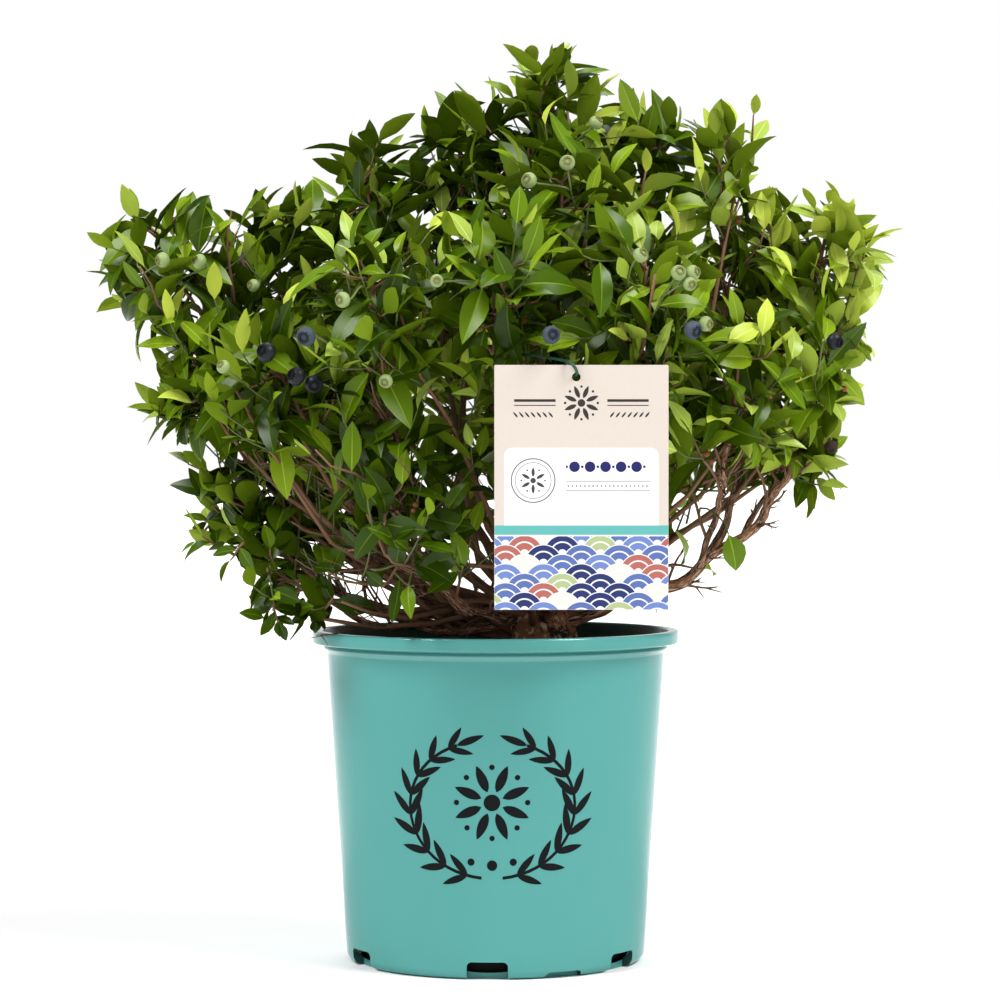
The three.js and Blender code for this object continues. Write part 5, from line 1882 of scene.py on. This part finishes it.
BLACK_INK = plain("black_ink", (0.006, 0.007, 0.008), 0.3, Specular_IOR_Level=0.05)
garland = Print()
wreath(garland, GARLAND_MIDDLE, GARLAND_UP, **GARLAND)
rosette(garland, GARLAND_MIDDLE, ROSETTE_UP, ROSETTE_RADIUS)
for side in (-1, 0, 1):
    # the middle bead a little lower and larger
    radius = BEAD_SIZE - abs(side)
    garland.lay(DISC, GARLAND_MIDDLE + side * BEADS_APART, BEADS_UP + 2 * abs(side), radius, radius)
garland.wrap("garland_printed_on_pot", on_pot, BLACK_INK)

# ---------- Card and tie ----------

HOLE = CARD_CENTRE + Vector((HOLE_ASIDE, 0, CARD_HEIGHT / 2 - HOLE_DROP))
BEIGE = (0.60, 0.53, 0.465)
BEIGE_FIBRES = (0.53, 0.468, 0.415), (0.56, 0.498, 0.445)
BARE_FIBRES = (0.55, 0.485, 0.425), (0.62, 0.55, 0.49)
NAVY, SKY, PALE_SKY = (0.016, 0.016, 0.10), (0.085, 0.130, 0.330), (0.130, 0.190, 0.430)
PALE_GREEN, CORAL, TEAL = (0.34, 0.40, 0.20), (0.36, 0.11, 0.09), (0.10, 0.36, 0.34)
PAPER_WHITE, PANEL_WHITE = (0.66, 0.66, 0.66), (0.74, 0.74, 0.74)
RING_GREY, LINE_GREY, PALE_GREY = (0.10, 0.10, 0.11), (0.16, 0.16, 0.17), (0.45, 0.45, 0.46)

# The card's print, in millimetres across and up from the card's centre
PANEL_WIDE, PANEL_TOP, PANEL_FOOT, PANEL_ROUND = 44.8, 23, -22, 5
EDGE = CARD_WIDTH / 2 + 0.5  # past the card's edge, for what runs off it
TEAL_BAND, WHITE_LINE = 5.5, 6.3  # how far down from the panel's foot they reach
SCALE_RADIUS, SCALE_ROW = 11, 0.5  # the rows' spacing is a share of the radius
# Where each tint starts, of chance from 0 to 1
SCALE_TINTS = [
    (0, (0.020, 0.030, 0.115)), (0.28, SKY), (0.56, PALE_SKY),
    (0.72, PALE_GREEN), (0.82, CORAL), (0.90, (0.60, 0.58, 0.54)),
]
# White on each scale, as shares of its radius: a thin ring, the edge and the eye
SCALE_RING, SCALE_EDGE, SCALE_EYE = (0.58, 0.66), 0.95, 0.24
BADGE_ACROSS, BADGE_UP, BADGE_RADIUS, BADGE_PETALS = -28, 4, 8, 6
BADGE_RINGS = [(13, 12.3), (10.6, 10.2)]
ROW_LEFT, ROW_RIGHT, BEAD_UP, BEAD_PITCH, BEAD_BAND = -9, 40, 12, 9, (5, 20)
LARGE_BEAD, LARGE_BEADS_TO, LARGE_BEAD_SHIFT = 3.1, 36.5, 8.5
SMALL_BEAD, SMALL_BEAD_SHIFT = 0.8, 4.0
LINES_UP, LINE_THICKNESS = (3.4, -2.2), 0.5
DOT_UP, DOT_PITCH, DOT_RADIUS, DOT_SHIFT, DOT_BAND = 0.85, 2.4, 0.55, 4, (-1, 3)
FOOT_LINES = [(-40, -2), (2, 40)]
FOOT_LINES_UP, FOOT_LINE_THICKNESS = (-13.6, -16.4), 0.35


def card_print():
    """Beige above, a white panel, and a band of overlapping scales below."""
    paint = Paint("printed_card", BEIGE, 0.42, Specular_IOR_Level=0.15)
    from_centre = paint.place(scale=(1 / MM, 1 / MM, 1 / MM), shift=(-CARD_CENTRE.x, 0, -CARD_CENTRE.z))
    u, _, v = paint.axes(from_centre)

    def far(x, y):
        return (x * x + y * y).root()

    def disc(x, y, radius):
        return far(u - x, v - y) < radius

    def bar(left, right, low, high):
        return (u > left) * (u < right) * (v > low) * (v < high)

    color = paint.mix(paint.noise(paint.place(), 700, 3), *BEIGE_FIBRES)
    # scales, the lower rows before the upper ones
    rows = (v / (SCALE_RADIUS * SCALE_ROW)).floor()
    for step in (1, 0, -1, -2):
        row = rows + step
        shift = (row % 2) * SCALE_RADIUS
        column = ((u - shift) / (2 * SCALE_RADIUS) + 0.5).floor()
        du = u - shift - column * (2 * SCALE_RADIUS)
        dv = v - row * (SCALE_RADIUS * SCALE_ROW)
        reach = far(du, dv) / SCALE_RADIUS
        spot = paint.node("ShaderNodeCombineXYZ", {}, column, row, 0.0)
        chance = paint.node("ShaderNodeTexWhiteNoise", {"noise_dimensions": "2D"}, spot)
        tint = paint.ramp(chance, SCALE_TINTS, "CONSTANT")
        inner = paint.mix((reach > SCALE_RING[0]) * (reach < SCALE_RING[1]), tint, PAPER_WHITE)
        inner = paint.mix(reach > SCALE_EDGE, inner, PAPER_WHITE)
        inner = paint.mix(reach < SCALE_EYE, inner, PAPER_WHITE)
        band = (reach < 1) * (v < PANEL_FOOT)
        color = paint.mix(band, color, inner)
    color = paint.mix(bar(-EDGE, EDGE, PANEL_FOOT - TEAL_BAND, PANEL_FOOT + 0.01), color, TEAL)
    color = paint.mix(bar(-EDGE, EDGE, PANEL_FOOT - WHITE_LINE, PANEL_FOOT - TEAL_BAND), color, PAPER_WHITE)
    # the white panel and what is on it: badge, beads, lines, dots and the lines at its foot
    corner_u = (abs(u) - (PANEL_WIDE - PANEL_ROUND)) | 0
    corner_v = (v - (PANEL_TOP - PANEL_ROUND)) | 0
    panel = (far(corner_u, corner_v) < PANEL_ROUND) * (v > PANEL_FOOT)
    color = paint.mix(panel, color, PANEL_WHITE)
    for outside, inside in BADGE_RINGS:
        ring = disc(BADGE_ACROSS, BADGE_UP, outside) - disc(BADGE_ACROSS, BADGE_UP, inside)
        color = paint.mix(ring, color, RING_GREY)
    beads = far((u + LARGE_BEAD_SHIFT) % BEAD_PITCH - BEAD_PITCH / 2, v - BEAD_UP) < LARGE_BEAD
    color = paint.mix(beads * bar(ROW_LEFT, LARGE_BEADS_TO, *BEAD_BAND), color, NAVY)
    beads = far((u + SMALL_BEAD_SHIFT) % BEAD_PITCH - BEAD_PITCH / 2, v - BEAD_UP) < SMALL_BEAD
    color = paint.mix(beads * bar(ROW_LEFT, ROW_RIGHT, *BEAD_BAND), color, NAVY)
    for low in LINES_UP:
        color = paint.mix(bar(ROW_LEFT, ROW_RIGHT, low, low + LINE_THICKNESS), color, LINE_GREY)
    dots = far((u + DOT_SHIFT) % DOT_PITCH - DOT_PITCH / 2, v - DOT_UP) < DOT_RADIUS
    color = paint.mix(dots * bar(ROW_LEFT, ROW_RIGHT, *DOT_BAND), color, LINE_GREY)
    for left, right in FOOT_LINES:
        for low in FOOT_LINES_UP:
            color = paint.mix(bar(left, right, low, low + FOOT_LINE_THICKNESS), color, PALE_GREY)
    return paint.feed(color)


def card_back():
    """The bare back and edges: card with its fibres."""
    paint = Paint("uncoated_card", BEIGE, 0.75)
    fibres = paint.noise(paint.place(scale=(1, 1, 0.4)), 900, 4)
    color = paint.mix(fibres, *BARE_FIBRES)
    return paint.feed(color, bump=fibres, depth=0.0001, strength=0.4)


def model_card():
    """A sheet with small round corners, broken edges and a punched hole."""
    start_fresh()
    bpy.ops.mesh.primitive_cube_add(size=1, location=CARD_CENTRE * MM)
    bpy.context.object.scale = (CARD_WIDTH * MM, CARD_THICKNESS * MM, CARD_HEIGHT * MM)
    card = start_shaping()
    pick(card, edges=lambda e: abs(e.verts[0].co.y - e.verts[1].co.y) > 0.5 * CARD_THICKNESS * MM)
    bpy.ops.mesh.bevel(offset=CARD_ROUND * MM, segments=5)
    bpy.ops.object.mode_set(mode="OBJECT")
    start_fresh()
    bpy.ops.mesh.primitive_cylinder_add(
        vertices=40, radius=HOLE_RADIUS * MM, depth=0.01, location=HOLE * MM, rotation=(math.pi / 2, 0, 0)
    )
    punch = bpy.context.object
    bpy.ops.object.transform_apply(location=True, rotation=True)
    cut_away(card, punch)
    corner = math.radians(50)
    finish_modifier(card, "BEVEL", width=0.15 * MM, segments=1, limit_method="ANGLE", angle_limit=corner)
    return card


card = model_card()
card.data.materials.append(card_back())
card.data.materials.append(card_print())
for face in card.data.polygons:
    face.material_index = 1 if face.normal.y < -SQUARE_ON else 0
settle(card, "hang_tag_card", angle=30)
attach(card, "root")
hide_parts("tag_card")

# Between lines and slanting leaves, in millimetres across and up from the card's centre
EMBLEM_UP, EMBLEM_RADIUS = 49, 11
RULE_FROM, RULE_LENGTH = 15, 24
RULES = ((50.4, 1.5), (47.6, 0.5))  # height and thickness
SPRIGS, SPRIGS_FROM, SPRIGS_APART, SPRIGS_UP = 7, 16.5, 3.4, 40.6
SPRIG_LENGTH, SPRIG_WIDTH, SPRIG_LEAN = 4.2, 2.6, 40

emblem = Print()
rosette(emblem, 0, EMBLEM_UP, EMBLEM_RADIUS)
for side in (-1, 1):
    start = RULE_FROM if side > 0 else -RULE_FROM - RULE_LENGTH
    for height, thickness in RULES:
        emblem.trace(STRIP, lambda t: (start + RULE_LENGTH * t, height), thickness)
    lean = math.radians(90 - side * SPRIG_LEAN)
    for k in range(SPRIGS):
        emblem.lay(LEAF, side * (SPRIGS_FROM + SPRIGS_APART * k), SPRIGS_UP, SPRIG_LENGTH, SPRIG_WIDTH, lean)
BROWN_INK = plain("brown_ink", (0.040, 0.034, 0.031), 0.6, Specular_IOR_Level=0.05)
emblem.wrap("rosette_printed_on_card", on_card, BROWN_INK)
badge = Print()
rosette(badge, BADGE_ACROSS, BADGE_UP, BADGE_RADIUS, BADGE_PETALS)
GREY_INK = plain("grey_ink", (0.05, 0.05, 0.055), 0.6, Specular_IOR_Level=0.05)
badge.wrap("badge_printed_on_card", on_card, GREY_INK)


def model_tie():
    """A loop of cord: a ring drawn out to two straight runs, its far end widened round a bough."""
    far = boughs[TIE_BOUGH].point(TIE_BOUGH_SHARE)
    slant = UP * math.cos(math.radians(TIE_TILT)) - ACROSS * math.sin(math.radians(TIE_TILT))
    near = HOLE + slant * TIE_TURN + UP * (HOLE_RADIUS - TIE_RADIUS - GAP)
    along = (far - near).normalized()
    upright = (slant - along * slant.dot(along)).normalized()
    half = (far - near).length / 2
    start_fresh()
    bpy.ops.mesh.primitive_torus_add(
        major_segments=40, minor_segments=10, major_radius=TIE_TURN * MM, minor_radius=TIE_RADIUS * MM
    )
    tie = start_shaping()
    for side in (-1, 1):
        pick(tie, vertices=lambda v: side * v.co.x > 1e-6)
        bpy.ops.transform.translate(value=(side * half * MM, 0, 0))
        pick(tie, vertices=lambda v: v.co.x > 0 and side * v.co.y > 1e-6)
        bpy.ops.transform.translate(value=(0, side * TIE_SPREAD * MM, 0))
    bpy.ops.object.mode_set(mode="OBJECT")
    pose = Matrix((along, upright, -upright.cross(along))).transposed().to_4x4()
    pose.translation = near.lerp(far, 0.5) * MM
    tie.matrix_world = pose
    return tie


tie = model_tie()
cord = Paint("dark_green_cord", (0.010, 0.060, 0.032), 0.5)
tie.data.materials.append(cord.feed(bump=cord.noise(cord.place(), 1800, 2), depth=0.0003, strength=0.6))
settle(tie, "hang_tag_tie", angle=60)
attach(tie, "root")
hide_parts("tag_tie")

# ---------- Camera, floor and lights ----------

DOWNWARD, FOCAL_LENGTH, SENSOR_WIDTH = 0.84, 123.1, 36  # degrees; millimetres
camera = bpy.data.objects.new("camera", bpy.data.cameras.new("camera"))
bpy.context.scene.collection.objects.link(camera)
camera.location = EYE * MM
camera.rotation_euler = (math.radians(90 - DOWNWARD), 0, 0)
camera.data.lens = FOCAL_LENGTH
camera.data.sensor_width = SENSOR_WIDTH
bpy.context.scene.camera = camera

start_fresh()
bpy.ops.mesh.primitive_plane_add(size=60)
floor = bpy.context.object
floor.name = "floor"
floor.data.materials.append(plain("pale_floor", (0.84, 0.84, 0.84), 0.7))

# Brightness by how far up the room is looked at, where 0 is level and 1 overhead
ROOM_UPWARD = [(0.2, 1.0), (0.5, 0.26)]
# From the front of the room to its bright back wall, with a dark gap before the wall
ROOM_AROUND = [(0, 0.36), (0.66, 0.44), (0.74, 0.2), (0.87, 0.2), (0.93, 1.0)]


def light_room():
    """A plain grey room, brighter low down and brightest at its back wall."""
    world = bpy.data.worlds.new("pale_room")
    bpy.context.scene.world = world
    world.use_nodes = True
    tree = world.node_tree
    sky = tree.nodes.new("ShaderNodeTexCoord")
    split = tree.nodes.new("ShaderNodeSeparateXYZ")
    tree.links.new(sky.outputs["Generated"], split.inputs[0])
    upward = tree.nodes.new("ShaderNodeValToRGB")
    tree.links.new(split.outputs[2], upward.inputs[0])
    Paint.set_stops(upward.color_ramp, [(at, (glow,) * 3) for at, glow in ROOM_UPWARD])
    tree.links.new(upward.outputs[0], tree.nodes["Background"].inputs["Color"])
    depth = tree.nodes.new("ShaderNodeMapRange")
    tree.links.new(split.outputs[1], depth.inputs[0])
    depth.inputs["From Min"].default_value = -1
    around = tree.nodes.new("ShaderNodeValToRGB")
    tree.links.new(depth.outputs[0], around.inputs[0])
    Paint.set_stops(around.color_ramp, [(at, (glow,) * 3) for at, glow in ROOM_AROUND])
    tree.links.new(around.outputs[0], tree.nodes["Background"].inputs["Strength"])
    bpy.context.scene.view_settings.view_transform = "Standard"


def sun(name, place, strength, spread):
    """A broad even light from a far place towards the plant."""
    light = bpy.data.objects.new(name, bpy.data.lights.new(name, "SUN"))
    light.data.energy = strength
    light.data.angle = math.radians(spread)
    light.rotation_euler = Vector(place).to_track_quat("Z", "Y").to_euler()
    bpy.context.scene.collection.objects.link(light)


light_room()
sun("right", (0.79, -0.50, 1.15), 3.4, 26)
sun("left", (-0.79, -0.50, 1.15), 3.0, 26)
sun("back", (0.1, 0.7, 0.9), 1.0, 40)
sun("front", (0.1, -1.0, 0.35), 0.3, 50)
